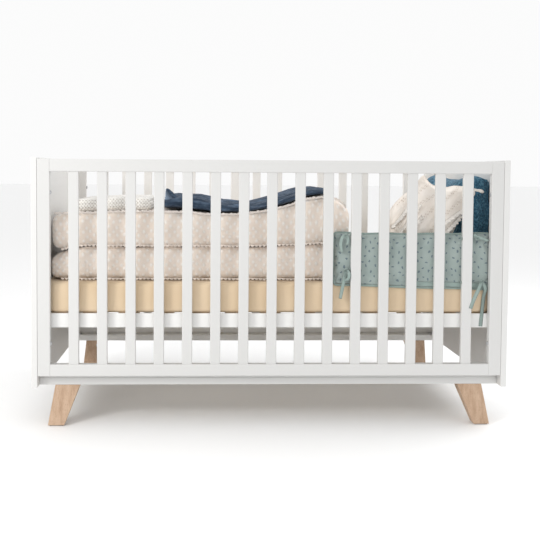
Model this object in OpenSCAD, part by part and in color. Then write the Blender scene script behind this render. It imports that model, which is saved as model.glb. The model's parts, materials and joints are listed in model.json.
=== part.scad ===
// Baby crib with slatted sides, solid end panels, splayed legs, a mattress base that bolts
// at three heights, and its bedding. Millimetres. X runs along the length, the front faces -Y,
// and the origin is on the floor under the middle of the crib.

/* [Overall] */
// Clear length between the end panels
inside_l = 1420; // [1100:10:1700]
// Outside width, front to back
crib_w = 760; // [620:10:920]
// Overall height, floor to the top of the end panels
crib_h = 820; // [760:10:980]

/* [End panels] */
// Thickness of an end panel
panel_t = 18; // [15:1:25]
// How far the end panels stand above the side rails
panel_proud = 4; // [0:1:12]
// Radius of the panels' edges
panel_r = 2; // [1:0.5:4]

/* [Slatted sides] */
// Thickness of the rails and stiles
side_t = 22; // [18:1:30]
// Height of the top rail
top_rail_h = 38; // [30:1:55]
// Height of the bottom rail
bottom_rail_h = 36; // [30:1:50]
// Width of a stile
stile_w = 38; // [32:1:50]
// Gap between the bottom rail and the leg beam's top
rail_gap = 13; // [6:1:25]
// Number of slats in a side
slat_n = 15; // [9:1:19]
// Width of a slat
slat_w = 31; // [20:1:36]
// Thickness of a slat
slat_t = 15; // [12:1:18]
// Length of a slat's tenon
tenon_l = 12; // [8:1:18]

/* [Leg beams] */
// Height of the beam's underside above the floor
beam_z = 122; // [90:2:180]
// Thickness of the beam
beam_t = 22; // [18:1:30]
// Width of the beam
beam_w = 51; // [45:1:70]
// How far the beam is set back from the side's face
beam_inset = 35; // [26:1:60]
// Height of the batten that stiffens the beam
batten_h = 20; // [12:1:24]
// Length of a bracket's legs
bracket_leg = 26; // [26:1:40]
// Thickness of the batten
batten_t = 16; // [12:1:16]

/* [Legs] */
// Length of the leg's top along the beam
leg_top_w = 75; // [60:1:90]
// Length of the leg's foot along the beam
leg_foot_w = 49; // [36:1:58]
// Width of the leg's foot across the beam
leg_foot_t = 31; // [26:1:40]
// Outward lean of the leg's outer edge along the length
leg_splay_x = 19; // [0:1:36]
// Outward lean of the leg's outer edge across the width
leg_splay_y = 23; // [0:1:25]
// Distance from an end panel to the top of the leg
leg_inset = 48; // [30:1:120]
// Thickness of the glide under a leg
glide_t = 3; // [2:0.5:6]

/* [Mattress base] */
// Clearance between the base at its lowest setting and the brackets under it
base_low_gap = 3; // [2:1:12]
// Height of the base rails
base_rail_h = 44; // [36:1:60]
// Thickness of the base rails
base_rail_t = 20; // [16:1:25]
// Clearance between the base and the frame along the length
base_gap_x = 1.5; // [1:0.5:6]
// Clearance between the base and the sides across the width
base_gap_y = 5; // [3:0.5:10]
// Distance between two height settings
height_step = 128; // [90:2:128]
// Number of cross slats in the base
base_slat_n = 13; // [8:1:17]
// Width of a cross slat
base_slat_w = 60; // [40:1:70]
// Thickness of a cross slat
base_slat_t = 12; // [8:1:15]

/* [Fasteners] */
// Radius of the connecting bolts' shanks
bolt_r = 3; // [2.5:0.5:4]
// Radius of the connecting bolts' heads
bolt_head_r = 6; // [5:0.5:8]
// Radius of a leg bolt
leg_bolt_r = 4; // [3:0.5:5]
// Radius of the barrel nut in a leg
barrel_r = 7; // [6:0.5:8]
// Radius of the wooden dowels
dowel_r = 4; // [3:0.5:5]
// Radial clearance round a bolt in wood
bolt_gap = 0.25; // [0.1:0.05:0.5]
// Clearance at a glued joint
fit_gap = 0.1; // [0.05:0.05:0.2]

/* [Bedding] */
// Thickness of the mattress with its sheet
mattress_h = 96; // [80:1:130]
// Gap between the mattress and the end panels
mattress_gap_x = 10; // [4:1:20]
// Gap between the mattress and the sides' inner faces
mattress_gap_y = 8; // [6:1:20]
// Thickness of the fitted sheet
sheet_t = 1.5; // [1:0.5:3]
// Mattress left free at the head end, beyond the folded quilts
head_room = 447; // [430:1:560]
// Depth of the folded quilts, front to back
quilt_w = 475; // [380:5:520]
// Height of the lower folded quilt
quilt_h = 102; // [80:1:130]
// Length of the bumper
bumper_l = 484; // [380:2:520]
// Height of the bumper above the mattress
bumper_h = 150; // [110:1:170]
// Thickness of the bumper's padding
bumper_t = 26; // [16:1:34]
// Width of a bumper tie
tie_w = 9; // [6:1:14]
// Width of the lace pillow
pillow_w = 263; // [220:1:280]
// Height of the lace pillow, standing
pillow_h = 328; // [240:1:340]
// Thickness of the lace pillow
pillow_t = 100; // [60:1:110]
// Width of the fleece cushion
cushion_w = 400; // [320:5:420]
// Height of the fleece cushion, standing
cushion_h = 325; // [260:1:340]
// Thickness of the fleece cushion
cushion_t = 106; // [80:1:120]

/* [Hidden] */
$fn = 48;

// colours
white = [0.94, 0.94, 0.93];
oak = [0.80, 0.66, 0.50];
steel = [0.62, 0.63, 0.65];
birch = [0.86, 0.77, 0.62];

// frame heights and places
side_top_z = crib_h - panel_proud;
side_bottom_z = beam_z + beam_t + rail_gap;
side_h = side_top_z - side_bottom_z;
end_fit = 0.5;
side_l = inside_l - 2 * end_fit;
front_y = -crib_w / 2;
opening_l = side_l - 2 * stile_w;
slat_gap = (opening_l - slat_n * slat_w) / (slat_n + 1);
slat_pitch = slat_w + slat_gap;
slat_z0 = side_bottom_z + bottom_rail_h;
slat_z1 = side_top_z - top_rail_h;
edge_r = 2;
slat_r = 2.5;

// side bolts, one pair high and one pair low in each stile
side_bolt_z = [side_bottom_z + 98, side_top_z - 101];
insert_r = bolt_r + 2;
insert_l = 13;
bolt_bite = insert_l - 2;
side_bolt_shank = stile_w + bolt_bite;
side_head_h = 3;
hex_r = 2.3;
thread_gap = 0.02;

// leg beams: y of the outer face, measured at the front
beam_y = front_y + beam_inset;
beam_l = inside_l - 2 * end_fit;
bracket_t = 3;
bracket_w = 30;
bracket_hole = 0.6 * bracket_leg;
pilot_l = 13;
screw_r = 2;
screw_head_r = 3.6;
screw_bite = 11;
pilot_r = screw_r + fit_gap / 2;

// legs
leg_top_x1 = inside_l / 2 - leg_inset;
leg_top_x0 = leg_top_x1 - leg_top_w;
leg_foot_x1 = leg_top_x1 + leg_splay_x;
leg_foot_x0 = leg_foot_x1 - leg_foot_w;
bolt_share = 0.42;
dowel_share = 0.78;
leg_bolt_x = leg_top_x0 + bolt_share * leg_top_w;
leg_dowel_x = leg_top_x0 + dowel_share * leg_top_w;
leg_axis_y = beam_y + beam_w / 2;
barrel_z = beam_z - 20;
barrel_l = 26.5;
barrel_y = leg_axis_y - 11;
leg_bolt_reach = 36;
leg_bolt_l = beam_t + leg_bolt_reach;
leg_head_r = leg_bolt_r + 4;
leg_head_h = 5;
leg_dowel_up = 12;
leg_dowel_down = 18;

// mattress base, at its middle setting
base_z = beam_z + beam_t + max(bracket_leg, batten_h) + base_low_gap + height_step;
base_l = inside_l - 2 * base_gap_x;
base_w = crib_w - 2 * side_t - 2 * base_gap_y;
base_top_z = base_z + base_rail_h;
base_bolt_z = base_z + base_rail_h / 2;
base_bolt_y = base_w / 2 - 90;
travel_gap = 0.6;
height_shank = base_rail_t + base_gap_x - travel_gap;
height_head_h = 4;
ledge_w = 16;
base_dowel_z = [10, base_rail_h - 20];
counterbore = 4;
slat_screw_l = base_slat_t + 10;
slat_span = base_w - 2 * base_rail_t + 2 * ledge_w;
base_slat_pitch = (base_l - 2 * base_rail_t - base_slat_w) / (base_slat_n - 1);

// bedding
soft_gap = 0.8;
mattress_l = inside_l - 2 * mattress_gap_x;
mattress_w = crib_w - 2 * side_t - 2 * mattress_gap_y;
mattress_top_z = base_top_z + mattress_h;
quilt_end_gap = 17;
quilt_x0 = -mattress_l / 2 + quilt_end_gap;
quilt_x1 = mattress_l / 2 - head_room;
quilt_top_z = mattress_top_z + soft_gap + quilt_h;
bumper_x1 = opening_l / 2 + 4;
bumper_y0 = front_y + side_t + 1;
bumper_y1 = bumper_y0 + bumper_t;
quilt_y0 = bumper_y1 + 3;
corner_r = 30;

// ---- shapes that repeat ----

// rounded rectangle about the origin, w by h, corner radius r
module round_rect(w, h, r) {
    square([w - 2 * r, h], center = true);
    square([w, h - 2 * r], center = true);
    for (sx = [-1, 1], sy = [-1, 1])
        translate([sx * (w / 2 - r), sy * (h / 2 - r)]) circle(r);
}

// bar along X with rounded long edges, from x0 to x1, centred on y and z
module bar_x(x0, x1, y, z, w, h, r) {
    translate([x0, y, z]) rotate([90, 0, 90]) linear_extrude(x1 - x0) round_rect(w, h, r);
}

// bar along Z with rounded long edges, from z0 to z1, centred on x and y
module bar_z(x, y, z0, z1, w, t, r) {
    translate([x, y, z0]) linear_extrude(z1 - z0) round_rect(w, t, r);
}

// pin along +X or +Z from a point
module pin_x(p, l, r) { translate(p) rotate([0, 90, 0]) cylinder(h = l, r = r); }
module pin_z(p, l, r) { translate(p) cylinder(h = l, r = r); }

// one copy at each end of the length, or at each side of the width
module both_ends() { children(); mirror([1, 0, 0]) children(); }
module both_sides() { children(); mirror([0, 1, 0]) children(); }
module four_corners() { both_sides() both_ends() children(); }

// x of slat number i in a side
function slat_x(i) = -opening_l / 2 + slat_gap + slat_w / 2 + i * slat_pitch;
side_mid_y = front_y + side_t / 2;

// ---- end panels ----

// the right-hand panel, with its inserts' holes
module end_panel() {
    x = inside_l / 2;
    mid_z = (beam_z + crib_h) / 2;
    difference() {
        intersection() {
            translate([x + panel_t / 2, 0, beam_z]) linear_extrude(crib_h - beam_z)
                round_rect(panel_t, crib_w, panel_r);
            translate([x + panel_t / 2, crib_w / 2, mid_z]) rotate([90, 0, 0])
                linear_extrude(crib_w) round_rect(panel_t, crib_h - beam_z, panel_r);
        }
        both_sides() {
            for (z = side_bolt_z)
                pin_x([x - 1, side_mid_y, z], insert_l + 1 + fit_gap, insert_r + fit_gap);
            for (k = [-1 : 1])
                pin_x([x - 1, base_bolt_y, base_bolt_z + k * height_step],
                      insert_l + 1 + fit_gap, insert_r + fit_gap);
            for (s = [-1, 1])
                pin_x([x - 1, bracket_y() + s * bracket_w / 4, bracket_z() + bracket_hole],
                      pilot_l, pilot_r);
        }
    }
}
module left_end_panel() { color(white) mirror([1, 0, 0]) end_panel(); }
module right_end_panel() { color(white) end_panel(); }

// ---- slatted sides, modelled at the front and mirrored to the back ----

module dowel_holes(x_end, z, dir) {
    for (dz = [-dowel_spread, dowel_spread])
        pin_x([x_end - (dir > 0 ? 0 : dowel_hole), side_mid_y, z + dz], dowel_hole,
              dowel_r + fit_gap / 2);
}
tenon_w = slat_w - 6;
tenon_t = slat_t - 5;
tenon_gap = 0.5;
module mortises(z0, h) {
    for (i = [0 : slat_n - 1])
        translate([slat_x(i), side_mid_y, z0 + h / 2])
            cube([tenon_w + 2 * fit_gap, tenon_t + 2 * fit_gap, h], center = true);
}
top_mid_z = side_top_z - top_rail_h / 2;
bottom_mid_z = side_bottom_z + bottom_rail_h / 2;
dowel_l = 30;
dowel_spread = 10;
dowel_hole = dowel_l / 2 + 0.2;

module top_rail() {
    difference() {
        bar_x(-opening_l / 2, opening_l / 2, side_mid_y, top_mid_z, side_t, top_rail_h, edge_r + 1);
        mortises(slat_z1 - 1, tenon_l + tenon_gap + 1);
        both_ends() dowel_holes(opening_l / 2, top_mid_z, -1);
    }
}
module bottom_rail() {
    difference() {
        bar_x(-opening_l / 2, opening_l / 2, side_mid_y, bottom_mid_z,
              side_t, bottom_rail_h, edge_r);
        mortises(slat_z0 - tenon_l - tenon_gap, tenon_l + tenon_gap + 1);
        both_ends() dowel_holes(opening_l / 2, bottom_mid_z, -1);
    }
}
module stile() {
    x0 = opening_l / 2;
    difference() {
        intersection() {
            bar_z(x0 + stile_w / 2, side_mid_y, side_bottom_z, side_top_z, stile_w, side_t, edge_r);
            bar_x(x0 - 1, x0 + stile_w + 1, side_mid_y, side_bottom_z + side_h / 2,
                  side_t, side_h, edge_r);
        }
        dowel_holes(x0, top_mid_z, 1);
        dowel_holes(x0, bottom_mid_z, 1);
        for (z = side_bolt_z)
            pin_x([x0 - 1, side_mid_y, z], stile_w + 2, bolt_r + bolt_gap);
    }
}
module slats() {
    for (i = [0 : slat_n - 1]) {
        bar_z(slat_x(i), side_mid_y, slat_z0, slat_z1, slat_w, slat_t, slat_r);
        translate([slat_x(i), side_mid_y, (slat_z0 + slat_z1) / 2])
            cube([tenon_w, tenon_t, slat_z1 - slat_z0 + 2 * tenon_l], center = true);
    }
}
module side_dowels() {
    both_ends()
        for (z = [top_mid_z, bottom_mid_z], dz = [-dowel_spread, dowel_spread])
            pin_x([opening_l / 2 - dowel_l / 2, side_mid_y, z + dz], dowel_l, dowel_r);
}
module back() { mirror([0, 1, 0]) children(); }

module front_top_rail() { color(white) top_rail(); }
module front_bottom_rail() { color(white) bottom_rail(); }
module front_right_stile() { color(white) stile(); }
module front_left_stile() { color(white) mirror([1, 0, 0]) stile(); }
module front_slats() { color(white) slats(); }
module front_side_dowels() { color(birch) side_dowels(); }
module back_top_rail() { color(white) back() top_rail(); }
module back_bottom_rail() { color(white) back() bottom_rail(); }
module back_right_stile() { color(white) back() stile(); }
module back_left_stile() { color(white) back() mirror([1, 0, 0]) stile(); }
module back_slats() { color(white) back() slats(); }
module back_side_dowels() { color(birch) back() side_dowels(); }

// ---- leg beams, battens and brackets ----

function bracket_y() = beam_y + batten_t + 1 + bracket_w / 2;
function bracket_z() = beam_z + beam_t;

module leg_beam() {
    difference() {
        bar_x(-beam_l / 2, beam_l / 2, leg_axis_y, beam_z + beam_t / 2, beam_w, beam_t, 1.5);
        both_ends() {
            pin_z([leg_bolt_x, leg_axis_y, beam_z - 1], beam_t + 2, leg_bolt_r + bolt_gap);
            pin_z([leg_dowel_x, leg_axis_y, beam_z - 1], leg_dowel_up + 1.2, dowel_r + fit_gap / 2);
            for (s = [-1, 1])
                pin_z([beam_l / 2 - bracket_hole, bracket_y() + s * bracket_w / 4,
                       bracket_z() - pilot_l], pilot_l + 1, pilot_r);
        }
    }
}
module batten() {
    bar_x(-beam_l / 2, beam_l / 2, beam_y + batten_t / 2, bracket_z() + batten_h / 2,
          batten_t, batten_h, 1.5);
}
// steel angle in the corner between a beam's top and an end panel
module bracket() {
    x = inside_l / 2;
    z = bracket_z();
    y = bracket_y();
    difference() {
        union() {
            translate([x - bracket_leg, y - bracket_w / 2, z])
                cube([bracket_leg, bracket_w, bracket_t]);
            translate([x - bracket_t, y - bracket_w / 2, z])
                cube([bracket_t, bracket_w, bracket_leg]);
        }
        for (s = [-1, 1]) {
            pin_z([beam_l / 2 - bracket_hole, y + s * bracket_w / 4, z - 1],
                  bracket_t + 2, screw_r + bolt_gap);
            pin_x([x - bracket_t - 1, y + s * bracket_w / 4, z + bracket_hole],
                  bracket_t + 2, screw_r + bolt_gap);
        }
    }
}
// pan-head screw along +Z from the underside of its head, pointing down
module screw(l) {
    translate([0, 0, -l]) cylinder(h = l, r = screw_r);
    cylinder(h = 2, r1 = screw_head_r, r2 = screw_head_r - 0.8);
}
module corner_screws() {
    for (s = [-1, 1]) {
        y = bracket_y() + s * bracket_w / 4;
        translate([beam_l / 2 - bracket_hole, y, bracket_z() + bracket_t])
            screw(bracket_t + screw_bite);
        translate([inside_l / 2 - bracket_t, y, bracket_z() + bracket_hole])
            rotate([0, -90, 0]) screw(bracket_t + screw_bite);
    }
}
module front_leg_beam() { color(white) leg_beam(); }
module back_leg_beam() { color(white) back() leg_beam(); }
module front_batten() { color(white) batten(); }
module back_batten() { color(white) back() batten(); }
module beam_brackets() { color(steel) four_corners() bracket(); }
module bracket_screws() { color(steel) four_corners() corner_screws(); }

// ---- legs ----

// tapered, splayed leg at the front right: two outlines crossed
module leg() {
    leg_z0 = glide_t;
    beam_y1 = beam_y + beam_w;
    foot_y = beam_y - leg_splay_y;
    difference() {
        intersection() {
            translate([0, beam_y1 + 1, 0]) rotate([90, 0, 0]) linear_extrude(beam_w + 60)
                polygon([[leg_foot_x0, leg_z0], [leg_foot_x1, leg_z0],
                         [leg_top_x1, beam_z], [leg_top_x0, beam_z]]);
            translate([leg_top_x0 - 20, 0, 0]) rotate([90, 0, 90]) linear_extrude(leg_top_w + 60)
                polygon([[foot_y, leg_z0], [foot_y + leg_foot_t, leg_z0],
                         [beam_y1, beam_z], [beam_y, beam_z]]);
        }
        pin_z([leg_bolt_x, leg_axis_y, beam_z - leg_bolt_reach - 6], leg_bolt_reach + 7,
              leg_bolt_r + bolt_gap);
        pin_z([leg_dowel_x, leg_axis_y, beam_z - leg_dowel_down - 0.2], leg_dowel_down + 1.2,
              dowel_r + fit_gap / 2);
        translate([leg_bolt_x, barrel_y - 1, barrel_z]) rotate([-90, 0, 0])
            cylinder(h = beam_w + 9, r = barrel_r + fit_gap);
    }
}
module barrel_nut() {
    difference() {
        translate([leg_bolt_x, barrel_y, barrel_z]) rotate([-90, 0, 0])
            cylinder(h = barrel_l, r = barrel_r);
        pin_z([leg_bolt_x, leg_axis_y, barrel_z - barrel_r - 1], 2 * barrel_r + 2,
              leg_bolt_r + thread_gap);
    }
}
module leg_bolt() {
    z1 = beam_z + beam_t;
    pin_z([leg_bolt_x, leg_axis_y, z1 - leg_bolt_l], leg_bolt_l, leg_bolt_r);
    difference() {
        pin_z([leg_bolt_x, leg_axis_y, z1], leg_head_h, leg_head_r);
        translate([leg_bolt_x, leg_axis_y, z1 + 2]) cylinder(h = leg_head_h, r = 3, $fn = 6);
    }
}
module leg_glide() {
    translate([leg_foot_x1 - leg_foot_w / 2, beam_y - leg_splay_y + leg_foot_t / 2, 0])
        linear_extrude(glide_t) round_rect(leg_foot_w - 8, leg_foot_t - 6, 3);
}
module front_right_leg() { color(oak) leg(); }
module front_left_leg() { color(oak) mirror([1, 0, 0]) leg(); }
module back_right_leg() { color(oak) back() leg(); }
module back_left_leg() { color(oak) back() mirror([1, 0, 0]) leg(); }
module leg_bolts() { color(steel) four_corners() leg_bolt(); }
module leg_barrel_nuts() { color(steel) four_corners() barrel_nut(); }
module leg_dowels() {
    color(birch) four_corners()
        pin_z([leg_dowel_x, leg_axis_y, beam_z - leg_dowel_down], leg_dowel_up + leg_dowel_down,
              dowel_r);
}
module leg_glides() { color([0.55, 0.53, 0.5]) four_corners() leg_glide(); }

// ---- side bolts and inserts ----

// threaded sleeve in the end panel's inner face, bore along X
module insert(y, z) {
    difference() {
        pin_x([inside_l / 2, y, z], insert_l, insert_r);
        pin_x([inside_l / 2 - 1, y, z], insert_l + 2, bolt_r + thread_gap);
    }
}
module side_bolt(z) {
    x0 = opening_l / 2;
    pin_x([x0, side_mid_y, z], side_bolt_shank, bolt_r);
    difference() {
        pin_x([x0 - side_head_h, side_mid_y, z], side_head_h, bolt_head_r);
        translate([x0 - side_head_h - 1, side_mid_y, z]) rotate([0, 90, 0])
            cylinder(h = side_head_h - 0.2, r = hex_r, $fn = 6);
    }
}
module side_bolts() { color(steel) four_corners() for (z = side_bolt_z) side_bolt(z); }
module side_bolt_inserts() {
    color(steel) four_corners() for (z = side_bolt_z) insert(side_mid_y, z);
}
module base_height_inserts() {
    color(steel) four_corners()
        for (k = [-1 : 1]) insert(base_bolt_y, base_bolt_z + k * height_step);
}

// ---- mattress base ----

// long rail with a ledge for the cross slats
module base_long_rail() {
    y0 = -base_w / 2;
    difference() {
        bar_x(-base_l / 2 + base_rail_t, base_l / 2 - base_rail_t, y0 + base_rail_t / 2,
              base_z + base_rail_h / 2, base_rail_t, base_rail_h, 1.5);
        translate([-base_l / 2, y0 + base_rail_t - ledge_w, base_top_z - base_slat_t])
            cube([base_l, ledge_w + 1, base_slat_t + 1]);
        both_ends() base_dowel_holes();
        for (x = base_slat_xs())
            pin_z([x, slat_screw_y(), base_top_z - counterbore - slat_screw_l - 2],
                  slat_screw_l + counterbore - base_slat_t + 3, pilot_r);
    }
}
module base_end_rail() {
    x = base_l / 2 - base_rail_t / 2;
    difference() {
        translate([x, base_w / 2, base_z + base_rail_h / 2]) rotate([90, 0, 0])
            linear_extrude(base_w) round_rect(base_rail_t, base_rail_h, 1.5);
        both_sides() {
            pin_x([x - base_rail_t, -base_bolt_y, base_bolt_z], 2 * base_rail_t, bolt_r + bolt_gap);
            base_dowel_holes();
        }
    }
}
function base_slat_xs() =
    [for (i = [0 : base_slat_n - 1]) (i - (base_slat_n - 1) / 2) * base_slat_pitch];
function slat_screw_y() = -base_w / 2 + base_rail_t - ledge_w / 2;
base_dowel_y = -base_w / 2 + base_rail_t / 2;
module base_dowel_holes() {
    for (dz = base_dowel_z)
        pin_x([base_l / 2 - base_rail_t - dowel_hole, base_dowel_y, base_z + dz], 2 * dowel_hole,
              dowel_r + fit_gap / 2);
}
module base_corner_dowels() {
    color(birch) four_corners()
        for (dz = base_dowel_z)
            pin_x([base_l / 2 - base_rail_t - dowel_l / 2, base_dowel_y, base_z + dz],
                  dowel_l - 0.5, dowel_r);
}
module base_front_rail() { color(white) base_long_rail(); }
module base_back_rail() { color(white) back() base_long_rail(); }
module base_right_rail() { color(white) base_end_rail(); }
module base_left_rail() { color(white) mirror([1, 0, 0]) base_end_rail(); }
module base_slats() {
    color(birch) for (x = base_slat_xs())
        difference() {
            translate([x - base_slat_w / 2, -slat_span / 2 + 0.5, base_top_z - base_slat_t])
                cube([base_slat_w, slat_span - 1, base_slat_t]);
            both_sides() {
                pin_z([x, slat_screw_y(), base_top_z - base_slat_t - 1], base_slat_t + 2,
                      screw_r + bolt_gap);
                pin_z([x, slat_screw_y(), base_top_z - counterbore], counterbore + 1,
                      screw_head_r + bolt_gap);
            }
        }
}
module slat_screws() {
    color(steel) both_sides() for (x = base_slat_xs())
        translate([x, slat_screw_y(), base_top_z - counterbore]) screw(slat_screw_l);
}
// height bolt, backed out of the panel so that the base can travel
module height_bolt() {
    x0 = base_l / 2 - base_rail_t;
    pin_x([x0, base_bolt_y, base_bolt_z], height_shank, bolt_r);
    difference() {
        pin_x([x0 - height_head_h, base_bolt_y, base_bolt_z], height_head_h, bolt_head_r + 1);
        translate([x0 - height_head_h - 1, base_bolt_y, base_bolt_z]) rotate([0, 90, 0])
            cylinder(h = height_head_h - 0.5, r = hex_r, $fn = 6);
    }
}
module height_bolts() { color(steel) four_corners() height_bolt(); }

// ---- bedding: plain solids of the soft goods' size and place ----

module soft_box(x0, x1, y0, y1, z0, z1, r) {
    translate([(x0 + x1) / 2, (y0 + y1) / 2, z0]) linear_extrude(z1 - z0)
        round_rect(x1 - x0, y1 - y0, r);
}
module mattress() {
    color([0.95, 0.93, 0.9])
        soft_box(-mattress_l / 2 + sheet_t, mattress_l / 2 - sheet_t,
                 -mattress_w / 2 + sheet_t, mattress_w / 2 - sheet_t,
                 base_top_z + sheet_t, mattress_top_z - sheet_t, corner_r);
}
// fitted sheet: over the top and sides, and turned in underneath
module fitted_sheet() {
    turn_in = 70;
    color([0.88, 0.78, 0.6]) difference() {
        soft_box(-mattress_l / 2, mattress_l / 2, -mattress_w / 2, mattress_w / 2,
                 base_top_z, mattress_top_z, corner_r + sheet_t);
        soft_box(-mattress_l / 2 + sheet_t, mattress_l / 2 - sheet_t,
                 -mattress_w / 2 + sheet_t, mattress_w / 2 - sheet_t,
                 base_top_z + sheet_t, mattress_top_z - sheet_t, corner_r);
        soft_box(-mattress_l / 2 + turn_in, mattress_l / 2 - turn_in,
                 -mattress_w / 2 + turn_in, mattress_w / 2 - turn_in,
                 base_top_z - 1, base_top_z + 2 * sheet_t, 20);
    }
}
// outline in X and Z drawn out along Y
module drape(pts, y0, y1) {
    translate([0, y1, 0]) rotate([90, 0, 0]) linear_extrude(y1 - y0) polygon(pts);
}
module lower_quilt() {
    color([0.92, 0.86, 0.8])
        soft_box(quilt_x0, quilt_x1, quilt_y0, quilt_y0 + quilt_w,
                 mattress_top_z + soft_gap, quilt_top_z, 25);
}
// top of the upper quilt as [x, height above its underside]
hump = [[quilt_x1, 90], [quilt_x1 - 22, 132], [quilt_x1 - 60, 152], [quilt_x1 - 140, 152],
        [quilt_x1 - 215, 128], [quilt_x1 - 300, 112], [quilt_x1 - 560, 108], [quilt_x0, 108]];
function raised(pts, dz) = [for (p = pts) [p[0], p[1] + dz]];
module upper_quilt() {
    z0 = quilt_top_z + soft_gap;
    color([0.93, 0.88, 0.82])
        drape(concat([[quilt_x0, z0], [quilt_x1, z0]], raised(hump, z0)),
              quilt_y0 + 2, quilt_y0 + quilt_w - 2);
}
function hump_h(x) = lookup(x, hump);
blanket_x0 = quilt_x0 + 70;
blanket_x1 = blanket_x0 + 245;
blanket_w = 315;
blanket_h = 45;
wrap_x0 = blanket_x1 + 33;
wrap_w = 385;
wrap_h = 38;
wrap_y0 = quilt_y0 + 15;
module knitted_blanket() {
    z0 = quilt_top_z + hump_h(blanket_x1) + 2 * soft_gap;
    color([0.9, 0.87, 0.8])
        soft_box(blanket_x0, blanket_x1, wrap_y0, wrap_y0 + blanket_w, z0, z0 + blanket_h, 20);
}
module muslin_wrap() {
    z0 = quilt_top_z + 2 * soft_gap;
    lift = 0.6;
    over = [for (i = [6 : -1 : 2]) if (hump[i][0] > wrap_x0) hump[i]];
    under = raised(concat([[wrap_x0, hump_h(wrap_x0)]], over), lift);
    top = raised([for (i = [len(under) - 1 : -1 : 0]) under[i]], wrap_h);
    color([0.22, 0.3, 0.42])
        drape(raised(concat(under, top), z0), wrap_y0, wrap_y0 + wrap_w);
}

// bumper against the inside of the front slats, with a hem that hangs below the mattress's top
module bumper() {
    z0 = mattress_top_z + soft_gap;
    hem_h = 22;
    hem_t = mattress_gap_y - 2.5;
    color([0.62, 0.68, 0.65]) union() {
        soft_box(bumper_x1 - bumper_l, bumper_x1, bumper_y0, bumper_y0 + bumper_t,
                 z0, z0 + bumper_h, 2);
        translate([bumper_x1 - bumper_l + 2, bumper_y0, z0 - hem_h])
            cube([bumper_l - 4, hem_t, hem_h + 1]);
    }
}
// tie looped round a slat, knotted at the front, with two hanging tails
module tie(i, z, tails) {
    x = slat_x(i);
    strap_t = 1.2;
    tie_gap = 0.8;
    out_x = slat_w + 2 * (strap_t + tie_gap);
    out_y = slat_t + 2 * (strap_t + tie_gap);
    difference() {
        translate([x, side_mid_y, z - tie_w / 2]) linear_extrude(tie_w) round_rect(out_x, out_y, 3);
        translate([x, side_mid_y, z - tie_w]) linear_extrude(2 * tie_w)
            round_rect(out_x - 2 * strap_t, out_y - 2 * strap_t, 2);
    }
    for (k = [0 : len(tails) - 1])
        translate([x + (2 * k - 1) * tie_w * 0.9 - tie_w / 2, side_mid_y - out_y / 2 - 0.4,
                   z - tails[k]])
            cube([tie_w, 1, tails[k] + 2]);
}
module bumper_ties() {
    color([0.6, 0.7, 0.66]) {
        for (z = [mattress_top_z + 40, mattress_top_z + bumper_h - 22])
            tie(slat_n - 5, z, [55, 42]);
        for (z = [mattress_top_z + 2, mattress_top_z + bumper_h - 22])
            tie(slat_n - 1, z, [75, 60]);
    }
}

// pillow in front, thinner where its right-hand corner passes the cushion
cushion_y0 = bumper_y1 + 48;
cushion_x1 = inside_l / 2 - 2;
cushion_x0 = cushion_x1 - cushion_t;
cushion_gap = 4;
pillow_y0 = bumper_y1 + 2;
pillow_x1 = cushion_x1 - 50;
pillow_x0 = pillow_x1 - pillow_w;
module lace_pillow() {
    notch = [cushion_x0 - cushion_gap, cushion_y0 - cushion_gap];
    color([0.93, 0.87, 0.8]) translate([0, 0, mattress_top_z + soft_gap])
        linear_extrude(pillow_h)
            polygon([[pillow_x0, pillow_y0], [pillow_x1, pillow_y0], [pillow_x1, notch[1]],
                     notch, [notch[0], pillow_y0 + pillow_t], [pillow_x0, pillow_y0 + pillow_t]]);
}
// cushion on edge against the right-hand end panel
module fleece_cushion() {
    z0 = mattress_top_z + soft_gap;
    color([0.2, 0.34, 0.44])
        soft_box(cushion_x0, cushion_x1, cushion_y0, cushion_y0 + cushion_w, z0, z0 + cushion_h,
                 35);
}

left_end_panel();
right_end_panel();
front_top_rail();
front_bottom_rail();
front_left_stile();
front_right_stile();
front_slats();
front_side_dowels();
back_top_rail();
back_bottom_rail();
back_left_stile();
back_right_stile();
back_slats();
back_side_dowels();
front_leg_beam();
back_leg_beam();
front_batten();
back_batten();
front_left_leg();
front_right_leg();
back_left_leg();
back_right_leg();
leg_bolts();
leg_barrel_nuts();
leg_dowels();
leg_glides();
beam_brackets();
bracket_screws();
side_bolts();
side_bolt_inserts();
base_height_inserts();
base_front_rail();
base_back_rail();
base_left_rail();
base_right_rail();
base_corner_dowels();
base_slats();
slat_screws();
height_bolts();
bumper_ties();
bumper();
mattress();
fitted_sheet();
lower_quilt();
upper_quilt();
knitted_blanket();
muslin_wrap();
lace_pillow();
fleece_cushion();
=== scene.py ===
"""Looks of a slatted baby crib and its bedding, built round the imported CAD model. Metres, Z up.

Pieces are placed by the CAD nodes' boxes, and the measures of folds, lace and ties are given here.
The bedding is made here: folded quilts, a knitted blanket, a crinkled muslin, a fitted sheet, a
tied bumper, a lace pillow and a fleece cushion. The pillow, the cushion and the bumper are puffed
up by cloth simulation.
"""
import json
import math

import bmesh
import bpy
import numpy as np
from mathutils import Matrix, Vector, noise
from mathutils.bvhtree import BVHTree


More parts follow.
